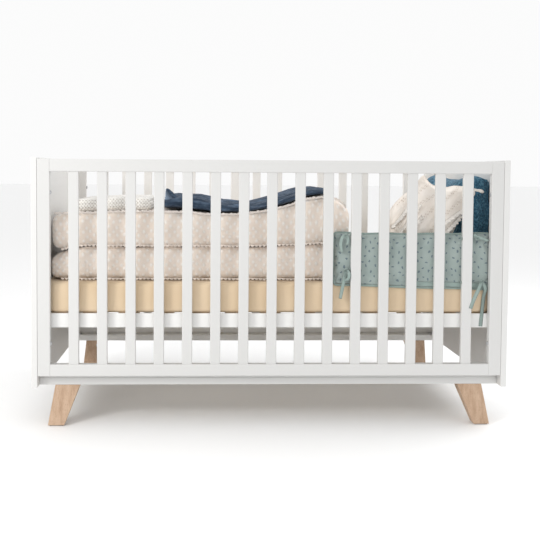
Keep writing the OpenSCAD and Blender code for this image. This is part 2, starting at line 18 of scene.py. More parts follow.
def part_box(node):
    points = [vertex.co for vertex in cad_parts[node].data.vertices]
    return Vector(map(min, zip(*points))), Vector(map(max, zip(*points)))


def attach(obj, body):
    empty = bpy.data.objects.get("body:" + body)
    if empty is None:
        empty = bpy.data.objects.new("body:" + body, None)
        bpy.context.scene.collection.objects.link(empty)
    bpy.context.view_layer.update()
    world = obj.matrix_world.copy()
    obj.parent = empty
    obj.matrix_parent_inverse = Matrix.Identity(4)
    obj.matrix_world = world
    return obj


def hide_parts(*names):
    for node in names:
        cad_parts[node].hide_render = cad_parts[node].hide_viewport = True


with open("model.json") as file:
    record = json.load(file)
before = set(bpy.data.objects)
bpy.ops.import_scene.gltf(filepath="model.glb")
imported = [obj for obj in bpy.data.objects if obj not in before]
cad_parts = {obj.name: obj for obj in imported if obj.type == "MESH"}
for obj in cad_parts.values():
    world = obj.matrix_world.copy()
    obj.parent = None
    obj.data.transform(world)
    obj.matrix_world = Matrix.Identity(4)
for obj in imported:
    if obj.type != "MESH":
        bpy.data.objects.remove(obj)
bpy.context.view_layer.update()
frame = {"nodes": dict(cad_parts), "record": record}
nodes = frame["nodes"]

MM = 0.001


class Box:
    """The place of a CAD node at rest, drawn in on each axis by an inset."""

    def __init__(self, node, inset=(0, 0, 0)):
        low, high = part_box(node)
        self.x0, self.y0, self.z0 = (v + i for v, i in zip(low, inset))
        self.x1, self.y1, self.z1 = (v - i for v, i in zip(high, inset))
        self.width, self.depth = self.x1 - self.x0, self.y1 - self.y0
        self.height = self.z1 - self.z0


# ---------------------------------------------------------------- camera, lights, floor

CAMERA_AT = (-0.2067, -2.7706, 0.7788)
CAMERA_YAW = -0.0318
CAMERA_PITCH = -0.0430
CAMERA_ROLL = 0.0062
CAMERA_LENS = 52.77
CAMERA_SENSOR = 36.0
CAMERA_SHIFT = (0.075, -0.1181)


def make_camera():
    data = bpy.data.cameras.new("camera")
    data.lens = CAMERA_LENS
    data.sensor_width = CAMERA_SENSOR
    data.shift_x, data.shift_y = CAMERA_SHIFT
    level = Vector((-math.sin(CAMERA_YAW), math.cos(CAMERA_YAW), 0))
    side = Vector((math.cos(CAMERA_YAW), math.sin(CAMERA_YAW), 0))
    up = Vector((0, 0, 1))
    ahead = level * math.cos(CAMERA_PITCH) + up * math.sin(CAMERA_PITCH)
    above = up * math.cos(CAMERA_PITCH) - level * math.sin(CAMERA_PITCH)
    right = side * math.cos(CAMERA_ROLL) + above * math.sin(CAMERA_ROLL)
    top = above * math.cos(CAMERA_ROLL) - side * math.sin(CAMERA_ROLL)
    camera = bpy.data.objects.new("camera", data)
    camera.matrix_world = Matrix.Translation(CAMERA_AT) @ Matrix((right, top, -ahead)).transposed().to_4x4()
    bpy.context.scene.collection.objects.link(camera)
    bpy.context.scene.camera = camera


def area_light(name, at, target, size, power, colour):
    data = bpy.data.lights.new(name, "AREA")
    data.shape = "RECTANGLE"
    data.size, data.size_y = size
    data.energy = power
    data.color = colour
    light = bpy.data.objects.new(name, data)
    light.location = at
    light.rotation_euler = (Vector(target) - Vector(at)).to_track_quat("-Z", "Y").to_euler()
    bpy.context.scene.collection.objects.link(light)


def make_lights():
    world = bpy.data.worlds.new("studio")
    world.use_nodes = True
    sky = world.node_tree.nodes["Background"]
    sky.inputs["Color"].default_value = (1.0, 1.0, 1.0, 1)
    sky.inputs["Strength"].default_value = 0.97
    bpy.context.scene.world = world
    bpy.context.scene.view_settings.view_transform = "Standard"
    area_light("key", (-2.3, -2.3, 1.7), (-0.3, 0, 0.45), (0.9, 0.9), 38, (1.0, 0.99, 0.97))
    area_light("fill", (2.3, 0.4, 2.5), (-0.7, 0, 0.5), (1.6, 1.6), 34, (0.98, 0.99, 1.0))


def make_floor():
    half = 45.0
    mesh = bpy.data.meshes.new("floor")
    corners = [(-half, -half, 0), (half, -half, 0), (half, half, 0), (-half, half, 0)]
    mesh.from_pydata(corners, [], [(0, 1, 2, 3)])
    floor = bpy.data.objects.new("floor", mesh)
    bpy.context.scene.collection.objects.link(floor)
    floor.data.materials.append(plain_floor())


# ---------------------------------------------------------------- material nodes


class Look:
    """A new material, its Principled shader and the nodes that feed it."""

    def __init__(self, name, colour, roughness):
        self.made = bpy.data.materials.new(name)
        self.made.use_nodes = True
        self.made.diffuse_color = (*colour, 1)
        self.tree = self.made.node_tree
        self.shader = self.tree.nodes["Principled BSDF"]
        self.set("Base Color", (*colour, 1))
        self.set("Roughness", roughness)

    def feed(self, socket, value):
        """Links a socket to another one, or sets its value."""
        if isinstance(value, bpy.types.NodeSocket):
            self.tree.links.new(value, socket)
        else:
            socket.default_value = value

    def set(self, key, value):
        self.feed(self.shader.inputs[key], value)

    def add(self, kind, inputs=None, **settings):
        """A node, with its settings and with its inputs set or linked."""
        made = self.tree.nodes.new("ShaderNode" + kind)
        for key, value in settings.items():
            setattr(made, key, value)
        for key, value in (inputs or {}).items():
            self.feed(made.inputs[key], value)
        return made

    def place(self, scale=(1, 1, 1), rotation=(0, 0, 0)):
        """Row-frame coordinates in metres, scaled."""
        where = self.add("TexCoord").outputs["Object"]
        return self.add("Mapping", {"Vector": where, "Scale": scale, "Rotation": rotation}).outputs[0]

    def cloth(self, scale=(1, 1, 1), rotation=(0, 0, 0)):
        """Coordinates along the flat cloth, in metres, kept on the mesh as an attribute."""
        where = self.add("Attribute", attribute_name="cloth").outputs["Vector"]
        return self.add("Mapping", {"Vector": where, "Scale": scale, "Rotation": rotation}).outputs[0]

    def maths(self, operation, a, b, clamp=False):
        return self.add("Math", {0: a, 1: b}, operation=operation, use_clamp=clamp).outputs[0]

    def times(self, a, b):
        return self.maths("MULTIPLY", a, b)

    def plus(self, a, b):
        return self.maths("ADD", a, b)

    def below(self, a, b):
        return self.maths("LESS_THAN", a, b)

    def above(self, a, b):
        return self.maths("GREATER_THAN", a, b)

    def noise(self, vector, scale, detail=3.0, rough=0.5):
        inputs = {"Vector": vector, "Scale": scale, "Detail": detail, "Roughness": rough}
        return self.add("TexNoise", inputs).outputs[0]

    def cells(self, vector, scale=5.0, randomness=1.0, **settings):
        """Outputs of a Voronoi texture."""
        inputs = {"Vector": vector, "Scale": scale, "Randomness": randomness}
        return self.add("TexVoronoi", inputs, **settings).outputs

    def vectors(self, operation, *values):
        """Outputs of a sum with vectors."""
        return self.add("VectorMath", dict(enumerate(values)), operation=operation).outputs

    def fade(self, value, start, stop, **settings):
        """1 up to start, going down to 0 at stop."""
        inputs = {"Value": value, "From Min": start, "From Max": stop, "To Min": 1.0, "To Max": 0.0}
        return self.add("MapRange", inputs, **settings).outputs[0]

    def faded(self, scale, dark, light):
        """Uneven colour between two tones."""
        return self.ramp(self.noise(self.place(), scale), (0.3, dark), (0.7, light))

    def ramp(self, value, *stops):
        """Colour ramp with (place, colour) stops."""
        made = self.add("ValToRGB", {"Fac": value})
        band = made.color_ramp
        while len(band.elements) < len(stops):
            band.elements.new(0.5)
        for element, (at, colour) in zip(band.elements, stops):
            element.position = at
            element.color = (*colour, 1)
        return made.outputs[0]

    def mix(self, share, a, b):
        """Colour a turning into colour b."""
        made = self.add("Mix", data_type="RGBA")
        for index, value in ((0, share), (6, a), (7, b)):
            self.feed(made.inputs[index], (*value, 1) if isinstance(value, tuple) else value)
        return made.outputs[2]

    def bump(self, height, distance, strength=1.0, under=None):
        inputs = {"Height": height, "Distance": distance, "Strength": strength}
        if under:
            inputs["Normal"] = under
        made = self.add("Bump", inputs)
        self.set("Normal", made.outputs[0])
        return made.outputs[0]

    def paint(self, colour):
        self.set("Base Color", colour)

    def threads(self, vector, pitch):
        """Plain weave on a surface that faces any way: rows of threads along all three axes."""
        scaled = self.vectors("MULTIPLY", vector, grey(2 * math.pi / pitch))[0]
        parts = self.add("SeparateXYZ", {0: self.vectors("SINE", scaled)[0]}).outputs
        return self.plus(self.plus(parts[0], parts[1]), parts[2])

    def edge_mask(self, radius):
        """1 on a rounded-over edge, 0 on a flat face."""
        soft = self.add("Bevel", {"Radius": radius}, samples=4).outputs[0]
        true = self.add("NewGeometry").outputs["Normal"]
        facing = self.vectors("DOT_PRODUCT", soft, true)["Value"]
        return self.maths("MULTIPLY", self.maths("SUBTRACT", 1.0, facing), 6.0, clamp=True)


def grey(value):
    return (value, value, value)


# ---------------------------------------------------------------- hard materials


def plain_floor():
    look = Look("pale_floor", (0.93, 0.93, 0.93), 0.6)
    look.set("Specular IOR Level", 0.2)
    return look.made


def white_lacquer(name, grain, painted_light_gain=1.0):
    """Satin lacquer over wood: grain is the scale of its figure along X, Y and Z, and the third argument is
    painted light: it makes the white lighter or darker, so that parts of the crib in shade get lighter copies
    of the same lacquer."""
    look = Look(name, grey(0.63 * painted_light_gain), 0.38)
    figure = look.noise(look.place(grain), 1.0, 4.0, 0.6)
    cloudy = look.noise(look.place(), 3.0, 2.0)
    dark, light, edge = (
        tuple(painted_light_gain * c for c in white)
        for white in ((0.615, 0.613, 0.603), (0.645, 0.643, 0.633), (0.69, 0.685, 0.665))
    )
    tint = look.mix(cloudy, dark, light)
    # Rounded edges are lighter and creamier: partly edge wear, partly a painted highlight.
    edge_wear_and_highlight = look.times(look.edge_mask(2.5 * MM), 0.5)
    look.paint(look.mix(edge_wear_and_highlight, tint, edge))
    look.set("Roughness", look.ramp(figure, (0.3, grey(0.32)), (0.7, grey(0.46))))
    orange_peel = look.noise(look.place(), 420.0, 1.0)
    height = look.plus(figure, look.times(orange_peel, 0.25))
    look.bump(height, 0.15 * MM, 0.5)
    return look.made


def oak_wood():
    look = Look("oak", (0.62, 0.44, 0.28), 0.5)
    waver = look.noise(look.place((5, 5, 2)), 1.0, 2.0)
    shifted = look.vectors("ADD", look.place((42, 42, 3.0)), waver)[0]
    figure = look.noise(shifted, 1.6, 5.0, 0.62)
    pores = look.noise(look.place((900, 900, 26)), 1.0, 2.0, 0.7)
    tones = (0.28, (0.37, 0.235, 0.145)), (0.5, (0.50, 0.345, 0.235)), (0.74, (0.58, 0.42, 0.30))
    wood = look.ramp(figure, *tones)
    dark = look.times(look.below(pores, 0.40), 0.45)
    wood = look.mix(dark, wood, (0.27, 0.165, 0.10))
    rubbed = look.times(look.edge_mask(2.0 * MM), 0.35)
    look.paint(look.mix(rubbed, wood, (0.62, 0.47, 0.345)))
    look.set("Roughness", look.ramp(pores, (0.3, grey(0.68)), (0.6, grey(0.44))))
    look.bump(pores, 0.25 * MM, 0.6)
    return look.made


def sanded_wood(name, light, dark, scale):
    look = Look(name, light, 0.62)
    figure = look.noise(look.place(scale), 1.0, 4.0, 0.6)
    look.paint(look.ramp(figure, (0.3, dark), (0.7, light)))
    look.bump(figure, 0.2 * MM, 0.5)
    return look.made


def metal(name, colour, roughness):
    look = Look(name, colour, roughness)
    look.set("Metallic", 0.92)
    spots = look.noise(look.place(), 700.0, 2.0)
    look.set("Roughness", look.ramp(spots, (0.3, grey(roughness - 0.08)), (0.7, grey(roughness + 0.12))))
    dull = look.times(look.noise(look.place(), 90.0, 3.0), 0.4)
    look.paint(look.mix(dull, colour, tuple(c * 0.62 for c in colour)))
    look.bump(spots, 0.05 * MM, 0.4)
    return look.made


def felt():
    look = Look("felt", (0.30, 0.28, 0.26), 0.95)
    fibres = look.noise(look.place(), 900.0, 4.0, 0.7)
    look.paint(look.ramp(fibres, (0.3, (0.2, 0.19, 0.17)), (0.7, (0.36, 0.34, 0.31))))
    look.bump(fibres, 0.4 * MM)
    return look.made


# ---------------------------------------------------------------- fabrics


def fabric(name, colour, sheen=0.25):
    look = Look(name, colour, 0.9)
    look.set("Sheen Weight", sheen)
    look.set("Sheen Roughness", 0.5)
    look.set("Specular IOR Level", 0.25)
    return look


def dots_at(look, pitch, randomness):
    """Staggered lattice on the cloth: distance from its nearest point, as a share of the pitch,
    the way from that point, and a random colour for it."""
    where = look.cloth(grey(1 / pitch), (0, 0, math.radians(45)))
    cell = look.cells(where, 1.0, randomness, voronoi_dimensions="2D")
    away = look.vectors("SUBTRACT", where, cell["Position"])[0]
    return cell["Distance"], away, cell["Color"]


def dotted_cotton():
    look = fabric("dotted_cotton", (0.80, 0.68, 0.58))
    distance, _, _ = dots_at(look, 16.5 * MM, 0.3)
    dot = look.fade(distance, 0.08, 0.42, interpolation_type="SMOOTHSTEP")
    ground = look.faded(9.0, (0.83, 0.725, 0.635), (0.88, 0.79, 0.71))
    look.paint(look.mix(look.times(dot, 0.62), ground, (0.97, 0.95, 0.93)))
    weave = look.threads(look.cloth(), 1.3 * MM)
    under = look.bump(weave, 0.1 * MM, 0.5)
    under = look.bump(dot, 2.0 * MM, 0.8, under)
    look.bump(look.noise(look.place(), 55.0, 3.0), 2.5 * MM, 0.55, under)
    return look.made


def lace_material(name, colour):
    look = fabric(name, colour, 0.15)
    hole = look.above(look.cells(look.cloth(), 330.0, feature="DISTANCE_TO_EDGE")[0], 0.24)
    # The holes are painted darker: painted shade seen through the lace.
    look.paint(look.mix(look.times(hole, 0.5), colour, tuple(c * 0.62 for c in colour)))
    look.bump(hole, -0.5 * MM, 0.8)
    return look.made


def sage_print():
    look = fabric("sage_print", (0.36, 0.45, 0.41))
    _, away, chance = dots_at(look, 21 * MM, 0.45)
    angle = look.times(look.add("SeparateColor", {0: chance}).outputs[0], 2 * math.pi)

    def leaf(turn, along, across, shift):
        turned = look.add(
            "VectorRotate", {"Vector": away, "Angle": look.plus(angle, turn)},
            rotation_type="Z_AXIS",
        ).outputs[0]
        moved = look.vectors("SUBTRACT", turned, (shift, 0, 0))[0]
        scaled = look.vectors("MULTIPLY", moved, (1 / along, 1 / across, 0))[0]
        return look.below(look.vectors("LENGTH", scaled)["Value"], 1.0)

    mark = look.maths("MAXIMUM", leaf(0.0, 0.21, 0.10, 0.05), leaf(0.7, 0.14, 0.075, 0.07))
    ground = look.faded(14.0, (0.29, 0.35, 0.335), (0.36, 0.42, 0.40))
    look.paint(look.mix(look.times(mark, 0.78), ground, (0.09, 0.13, 0.17)))
    under = look.bump(look.threads(look.cloth(), 1.2 * MM), 0.12 * MM, 0.6)
    crinkle = look.noise(look.cloth((1, 1.6, 1)), 110.0, 3.0, 0.6)
    look.bump(crinkle, 1.2 * MM, 0.6, under)
    return look.made


def tape(name, light, dark):
    look = fabric(name, light)
    look.paint(look.faded(40.0, dark, light))
    look.bump(look.threads(look.place((1, 1, 0.6)), 1.1 * MM), 0.2 * MM, 0.7)
    return look.made


def ochre_jersey():
    look = fabric("ochre_jersey", (0.72, 0.52, 0.30))
    look.paint(look.faded(6.0, (0.68, 0.53, 0.36), (0.735, 0.59, 0.42)))
    ribs = look.add(
        "TexWave", {"Vector": look.cloth(), "Scale": 1 / (2.2 * MM) / 20, "Distortion": 0.6},
        bands_direction="X",
    ).outputs[1]
    under = look.bump(ribs, 0.15 * MM, 0.5)
    look.bump(look.noise(look.place((1, 1, 2.2)), 11.0, 2.0), 3.0 * MM, 0.35, under)
    return look.made


def quilted_ticking():
    look = fabric("mattress_cover", (0.82, 0.80, 0.76))
    slanted = look.place(grey(18), (0, 0, math.radians(45)))
    diamond = look.cells(slanted, randomness=0.0, feature="DISTANCE_TO_EDGE")[0]
    puffed = look.maths("POWER", diamond, 0.5)
    # Darker towards the stitched seams, where the quilting dips: painted shade.
    look.paint(look.ramp(puffed, (0.0, (0.62, 0.60, 0.56)), (0.3, (0.82, 0.80, 0.76))))
    under = look.bump(puffed, 5 * MM, 0.8)
    look.bump(look.threads(look.place(), 1.2 * MM), 0.1 * MM, 0.5, under)
    return look.made


def cream_knit():
    look = fabric("cream_knit", (0.84, 0.76, 0.65), 0.4)
    stitch = look.threads(look.cloth((1, 1, 0)), 9.5 * MM)
    fuzz = look.noise(look.place(), 420.0, 4.0, 0.7)
    slanted = look.cloth(grey(1 / (6.7 * MM)), (0, 0, math.radians(45)))
    loops = look.cells(slanted, 1.0, 0.1, voronoi_dimensions="2D")["Distance"]
    hole = look.fade(loops, 0.18, 0.34)
    yarn = look.mix(fuzz, (0.91, 0.88, 0.82), (0.96, 0.94, 0.91))
    # The holes of the openwork are painted brown: painted shade for the layers that lie in shadow beneath
    # them.
    look.paint(look.mix(look.times(hole, 0.42), yarn, (0.50, 0.41, 0.32)))
    under = look.bump(hole, -2.0 * MM)
    under = look.bump(stitch, 0.8 * MM, 0.6, under)
    look.bump(fuzz, 0.7 * MM, 0.6, under)
    return look.made


def navy_muslin():
    look = fabric("navy_muslin", (0.036, 0.06, 0.105), 0.12)
    crinkle = look.noise(look.cloth((0.30, 1, 1)), 75.0, 4.0, 0.6)
    # The colour follows the crinkle's height, as the bump does: ridges are painted lighter and hollows
    # darker, a painted highlight and painted shade.
    tones = (0.25, (0.022, 0.036, 0.062)), (0.48, (0.031, 0.054, 0.09)), (0.66, (0.10, 0.148, 0.22))
    look.paint(look.ramp(crinkle, *tones))
    under = look.bump(look.threads(look.cloth(), 1.4 * MM), 0.15 * MM, 0.6)
    look.bump(crinkle, 5.0 * MM, 1.0, under)
    # Painted light: where the cloth attribute's third part is above 0, on the muslin's turned-up corner, the
    # navy turns light blue, for light shining through the thin cloth.
    side = look.add("SeparateXYZ", {0: look.cloth()}).outputs[2]
    dark = look.shader.inputs["Base Color"].links[0].from_socket
    look.paint(look.mix(side, dark, (0.33, 0.44, 0.60)))
    return look.made


def pillow_cotton():
    look = fabric("pillow_cotton", (0.82, 0.70, 0.60))
    ground = look.faded(16.0, (0.92, 0.83, 0.74), (0.96, 0.90, 0.84))
    rows = look.add(
        "TexWave", {"Vector": look.cloth(grey(1), (0, 0, math.radians(28))), "Scale": 5.2},
        bands_direction="X",
    ).outputs[1]
    eyelets = look.cells(look.cloth(), 120.0, 0.0, voronoi_dimensions="2D")["Distance"]
    hole = look.times(look.below(eyelets, 0.26), look.above(rows, 0.84))
    # The eyelet holes are painted brown: painted shade inside them.
    look.paint(look.mix(look.times(hole, 0.45), ground, (0.5, 0.37, 0.28)))
    under = look.bump(look.threads(look.cloth(), 1.2 * MM), 0.12 * MM, 0.6)
    under = look.bump(hole, -1.0 * MM, 1.0, under)
    look.bump(look.noise(look.place(), 60.0, 4.0, 0.6), 2.2 * MM, 0.6, under)
    return look.made


def petrol_fleece():
    look = fabric("petrol_fleece", (0.03, 0.10, 0.16), 0.12)
    curls = look.cells(look.place(), 230.0, feature="SMOOTH_F1")[0]
    patches = look.noise(look.place(), 110.0, 3.0, 0.65)
    mixed = look.plus(look.times(curls, 0.5), look.times(patches, 0.6))
    tones = (0.30, (0.014, 0.055, 0.095)), (0.5, (0.035, 0.12, 0.19)), (0.72, (0.11, 0.25, 0.34))
    look.paint(look.ramp(mixed, *tones))
    under = look.bump(curls, -3.0 * MM)
    look.bump(patches, 2.0 * MM, 0.7, under)
    return look.made


make_camera()
make_lights()
make_floor()

LACQUER_ALONG = white_lacquer("white_lacquer_along", (3, 60, 60))
LACQUER_UP = white_lacquer("white_lacquer_up", (60, 60, 3))
# The end panels get a lighter copy of the lacquer, and the back side and the base a lighter one still:
# painted light for faces that lie in shade.
LACQUER_PANEL_PAINTED_LIGHT = white_lacquer("white_lacquer_panel_painted_light", (40, 3, 30), painted_light_gain=1.1)
LACQUER_BACK_PAINTED_LIGHT = white_lacquer("white_lacquer_back_painted_light", (30, 60, 30), painted_light_gain=1.3)
OAK = oak_wood()
BEECH = sanded_wood("beech_dowel", (0.62, 0.43, 0.26), (0.50, 0.33, 0.19), (4, 90, 90))
BIRCH = sanded_wood("birch", (0.70, 0.57, 0.41), (0.58, 0.45, 0.30), (70, 4, 70))
ZINC = metal("zinc_steel", (0.62, 0.63, 0.65), 0.34)
BRASS = metal("brass_insert", (0.66, 0.48, 0.2), 0.36)
FELT = felt()
DOTTED = dotted_cotton()
QUILT_LACE = lace_material("quilt_lace", (0.90, 0.84, 0.79))
HEM_LACE = lace_material("quilt_hem_lace", (0.86, 0.77, 0.69))
PILLOW_LACE = lace_material("pillow_lace", (0.93, 0.885, 0.83))
SAGE = sage_print()
SAGE_TAPE = tape("bumper_binding", (0.335, 0.42, 0.39), (0.28, 0.36, 0.335))
OCHRE = ochre_jersey()
TICKING = quilted_ticking()
KNIT = cream_knit()
NAVY = navy_muslin()
PILLOW = pillow_cotton()
FLEECE = petrol_fleece()


def lacquer_for(name):
    """The lacquer for a piece: its grain runs along the piece. The end panels, the back side and the base get
    lighter copies of the same lacquer: painted light that makes up for the shade on those parts of the crib."""
    if name.endswith("end_panel"):
        return LACQUER_PANEL_PAINTED_LIGHT
    if name.startswith(("back", "base")):
        return LACQUER_BACK_PAINTED_LIGHT
    if name.endswith(("stile", "slats")):
        return LACQUER_UP
    return LACQUER_ALONG


def dress_frame():
    """Gives every CAD node that stays in view its material."""
    by_slot = {
        "oak": OAK, "beech_dowel": BEECH, "birch": BIRCH, "zinc_steel": ZINC,
        "brass_insert": BRASS, "felt": FELT, "bumper_binding": SAGE_TAPE,
    }
    for part in frame["record"]["subparts"]:
        slot = part["material_slot"]
        node = nodes[part["node"]]
        chosen = by_slot.get(slot)
        if slot == "white_lacquer":
            chosen = lacquer_for(part["node"])
        if chosen is None:
            continue
        if not node.material_slots:
            node.data.materials.append(chosen)
        for holder in node.material_slots:
            holder.material = chosen


dress_frame()

# ---------------------------------------------------------------- mesh helpers


def make_object(name, points, faces, chosen, cloth):
    """A smooth mesh object. cloth holds each point's place on the flat cloth, in metres; on the muslin corner
    its third part holds a share of painted light.
    """
    mesh = bpy.data.meshes.new(name)
    mesh.from_pydata([tuple(p) for p in points], [], faces)
    mesh.polygons.foreach_set("use_smooth", [True] * len(mesh.polygons))
    mesh.materials.append(chosen)
    layer = mesh.attributes.new("cloth", "FLOAT_VECTOR", "POINT")
    layer.data.foreach_set("vector", np.asarray(cloth, np.float32).ravel())
    made = bpy.data.objects.new(name, mesh)
    bpy.context.scene.collection.objects.link(made)
    return made


def ripple(points, scale, seed):
    """Smooth noise from -1 to 1 at each point: scale is the points' share of a wave on each axis."""
    shift = Vector((seed * 7.31, seed * 3.17, seed * 5.77))
    flat = np.asarray(points, float).reshape(-1, 3) * np.array(scale, float)
    found = [noise.noise(Vector(p) + shift) for p in flat]
    return np.array(found).reshape(np.asarray(points).shape[:-1])


def surface_normals(grid):
    """Unit normals of a grid of points."""
    along = np.gradient(grid, axis=0)
    across = np.gradient(grid, axis=1)
    normal = np.cross(along, across)
    return normal / np.maximum(np.linalg.norm(normal, axis=2, keepdims=True), 1e-9)


def rounded(distance, radius):
    """Rises from 0 at a border to 1, as a quarter circle of that radius."""
    near = np.clip(distance / radius, 0, 1)
    return np.sqrt(np.clip(1 - (1 - near) ** 2, 0, 1))


def slab(name, middle, half, chosen, cloth):
    """Closed padded sheet about a grid of middle points. half is how far each face lies from the
    middle, and is 0 on the grid's border, where the two faces meet."""
    rows, columns = middle.shape[:2]
    normal = surface_normals(middle)
    top = middle + normal * half[..., None]
    bottom = middle - normal * half[..., None]
    index_top = np.arange(rows * columns).reshape(rows, columns)
    index_bottom = index_top.copy()
    held_apart = np.arange((rows - 2) * (columns - 2)).reshape(rows - 2, columns - 2)
    index_bottom[1:-1, 1:-1] = rows * columns + held_apart
    points = np.concatenate([top.reshape(-1, 3), bottom[1:-1, 1:-1].reshape(-1, 3)])
    faces = []
    for index, flip in ((index_top, False), (index_bottom, True)):
        a, b = index[:-1, :-1].ravel(), index[1:, :-1].ravel()
        c, d = index[1:, 1:].ravel(), index[:-1, 1:].ravel()
        quads = np.stack([a, d, c, b] if flip else [a, b, c, d], axis=1)
        faces += quads.tolist()
    places = np.concatenate([cloth.reshape(-1, 3), cloth[1:-1, 1:-1].reshape(-1, 3)])
    return make_object(name, points, faces, chosen, places)


def unit(vectors):
    """The same vectors, each one long."""
    return vectors / np.linalg.norm(vectors, axis=-1, keepdims=True)


def flat_places(along, across):
    """Places on the flat cloth of a grid of points, from how far along and across it they are."""
    return np.stack([along, across, np.zeros_like(along)], axis=2)


def distances(line):
    """How far along a line each of its points is."""
    return np.concatenate([[0], np.cumsum(np.linalg.norm(np.diff(line, axis=0), axis=1))])


def directions(line):
    """Unit direction of a line at each of its points."""
    return unit(np.gradient(line, axis=0))


def eased(loop, times):
    """A closed line with its corners eased."""
    for _ in range(times):
        loop = (np.roll(loop, 1, axis=0) + 2 * loop + np.roll(loop, -1, axis=0)) / 4
    return loop


def inner(shape):
    """1 on the inner points of a grid and 0 on its border."""
    return np.pad(np.ones((shape[0] - 2, shape[1] - 2)), 1)


def ring_faces(rows, size, closed=False):
    """Faces between rings of points, and from the last ring to the first if closed."""
    faces = []
    for r in range(rows if closed else rows - 1):
        n = (r + 1) % rows
        for k in range(size):
            m = (k + 1) % size
            faces.append([r * size + k, r * size + m, n * size + m, n * size + k])
    return faces


def resample(line, step):
    """Points of an open line, evenly spaced, about a step apart, and their distances along it."""
    line = np.asarray(line, float)
    run = distances(line)
    count = max(4, int(round(run[-1] / step)) + 1)
    where = np.linspace(0, run[-1], count)
    return np.stack([np.interp(where, run, line[:, k]) for k in range(line.shape[1])], axis=1), where


def smooth_path(controls, step):
    """Catmull-Rom curve through the control points, evenly spaced."""
    pts = [Vector(p) for p in controls]
    pts = [pts[0] * 2 - pts[1], *pts, pts[-1] * 2 - pts[-2]]
    line = []
    for a, b, c, d in zip(pts, pts[1:], pts[2:], pts[3:]):
        for t in np.linspace(0, 1, 12, endpoint=False):
            line.append(0.5 * (2 * b + (c - a) * t + (2 * a - 5 * b + 4 * c - d) * t**2
                               + (3 * b - a - 3 * c + d) * t**3))
    line.append(pts[-2])
    return resample([tuple(p) for p in line], step)[0]


def tree_of(piece):
    mesh = piece.data
    return BVHTree.FromPolygons([v.co for v in mesh.vertices], [p.vertices[:] for p in mesh.polygons])


def finish_piece(piece, body, replaced=(), subdivisions=0):
    """Ties a piece to its body and the CAD nodes that it stands for."""
    if subdivisions:
        extra = piece.modifiers.new("smooth", "SUBSURF")
        extra.levels = extra.render_levels = subdivisions
    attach(piece, body)
    if replaced:
        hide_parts(*replaced)


# ---------------------------------------------------------------- cloth simulation


PUFF_FRAMES = 20


def puff(piece, voxel, pressure, cap, shrink, held=None):
    """Swells a closed piece as stuffing does: remeshed evenly, blown up as cloth, and no point
    moved further than cap. held(points) says which points stay, from 0 to 1."""
    scene = bpy.context.scene
    tree = tree_of(piece)
    remesh = piece.modifiers.new("even", "REMESH")
    remesh.mode = "VOXEL"
    remesh.voxel_size = voxel
    bpy.context.view_layer.objects.active = piece
    for other in bpy.context.selected_objects:
        other.select_set(False)
    piece.select_set(True)
    old = piece.data.copy()
    bpy.ops.object.modifier_apply(modifier=remesh.name)
    start = np.array([v.co for v in piece.data.vertices])
    if held:
        group = piece.vertex_groups.new(name="held")
        for index, weight in enumerate(held(start)):
            if weight > 0:
                group.add([index], float(weight), "REPLACE")
    cloth = piece.modifiers.new("cloth", "CLOTH")
    settings = cloth.settings
    settings.quality = 5
    settings.mass = 0.15
    settings.tension_stiffness = settings.compression_stiffness = 12
    settings.shear_stiffness = 6
    settings.bending_stiffness = 0.4
    settings.use_pressure = True
    settings.uniform_pressure_force = pressure
    settings.effector_weights.gravity = 0
    settings.shrink_min = shrink
    if held:
        settings.vertex_group_mass = "held"
    cloth.collision_settings.use_collision = False
    scene.frame_start, scene.frame_end = 1, PUFF_FRAMES
    cloth.point_cache.frame_start, cloth.point_cache.frame_end = 1, PUFF_FRAMES
    for number in range(1, PUFF_FRAMES + 1):
        scene.frame_set(number)
    seen = piece.evaluated_get(bpy.context.evaluated_depsgraph_get())
    moved = np.array([v.co for v in seen.data.vertices])
    piece.modifiers.remove(cloth)
    scene.frame_set(1)
    step = moved - start
    length = np.linalg.norm(step, axis=1, keepdims=True)
    limited = start + step * np.minimum(1, cap / np.maximum(length, 1e-9))
    piece.data.vertices.foreach_set("co", limited.astype(np.float32).ravel())
    keep_cloth_places(piece, old, tree, start)
    piece.data.polygons.foreach_set("use_smooth", [True] * len(piece.data.polygons))
    piece.data.update()
    bpy.data.meshes.remove(old)


def keep_cloth_places(piece, old, tree, points):
    """Carries the flat-cloth coordinates of the old mesh over to the remeshed one."""
    source = np.zeros(len(old.vertices) * 3, np.float32)
    old.attributes["cloth"].data.foreach_get("vector", source)
    source = source.reshape(-1, 3)
    near = [tree.find_nearest(Vector(p)) for p in points]
    places = []
    for point, (_, _, index, _) in zip(points, near):
        corners = old.polygons[index].vertices[:]
        away = [1 / (1e-6 + (old.vertices[c].co - Vector(point)).length) for c in corners]
        places.append(sum(source[c] * a for c, a in zip(corners, away)) / sum(away))
    layer = piece.data.attributes.get("cloth") or piece.data.attributes.new("cloth", "FLOAT_VECTOR", "POINT")
    layer.data.foreach_set("vector", np.asarray(places, np.float32).ravel())


def limit(piece, axis, low=-math.inf, high=math.inf):
    """Presses a piece flat against a plane on either side, along one axis."""
    for vertex in piece.data.vertices:
        vertex.co[axis] = min(max(vertex.co[axis], low), high)


# ---------------------------------------------------------------- mattress and sheet

sheet_box = Box("fitted_sheet")
BED_TOP = sheet_box.z1
BED_CORNER = 45 * MM
CORNER_STEPS = 10
SIDE_STEPS = (64, 34)


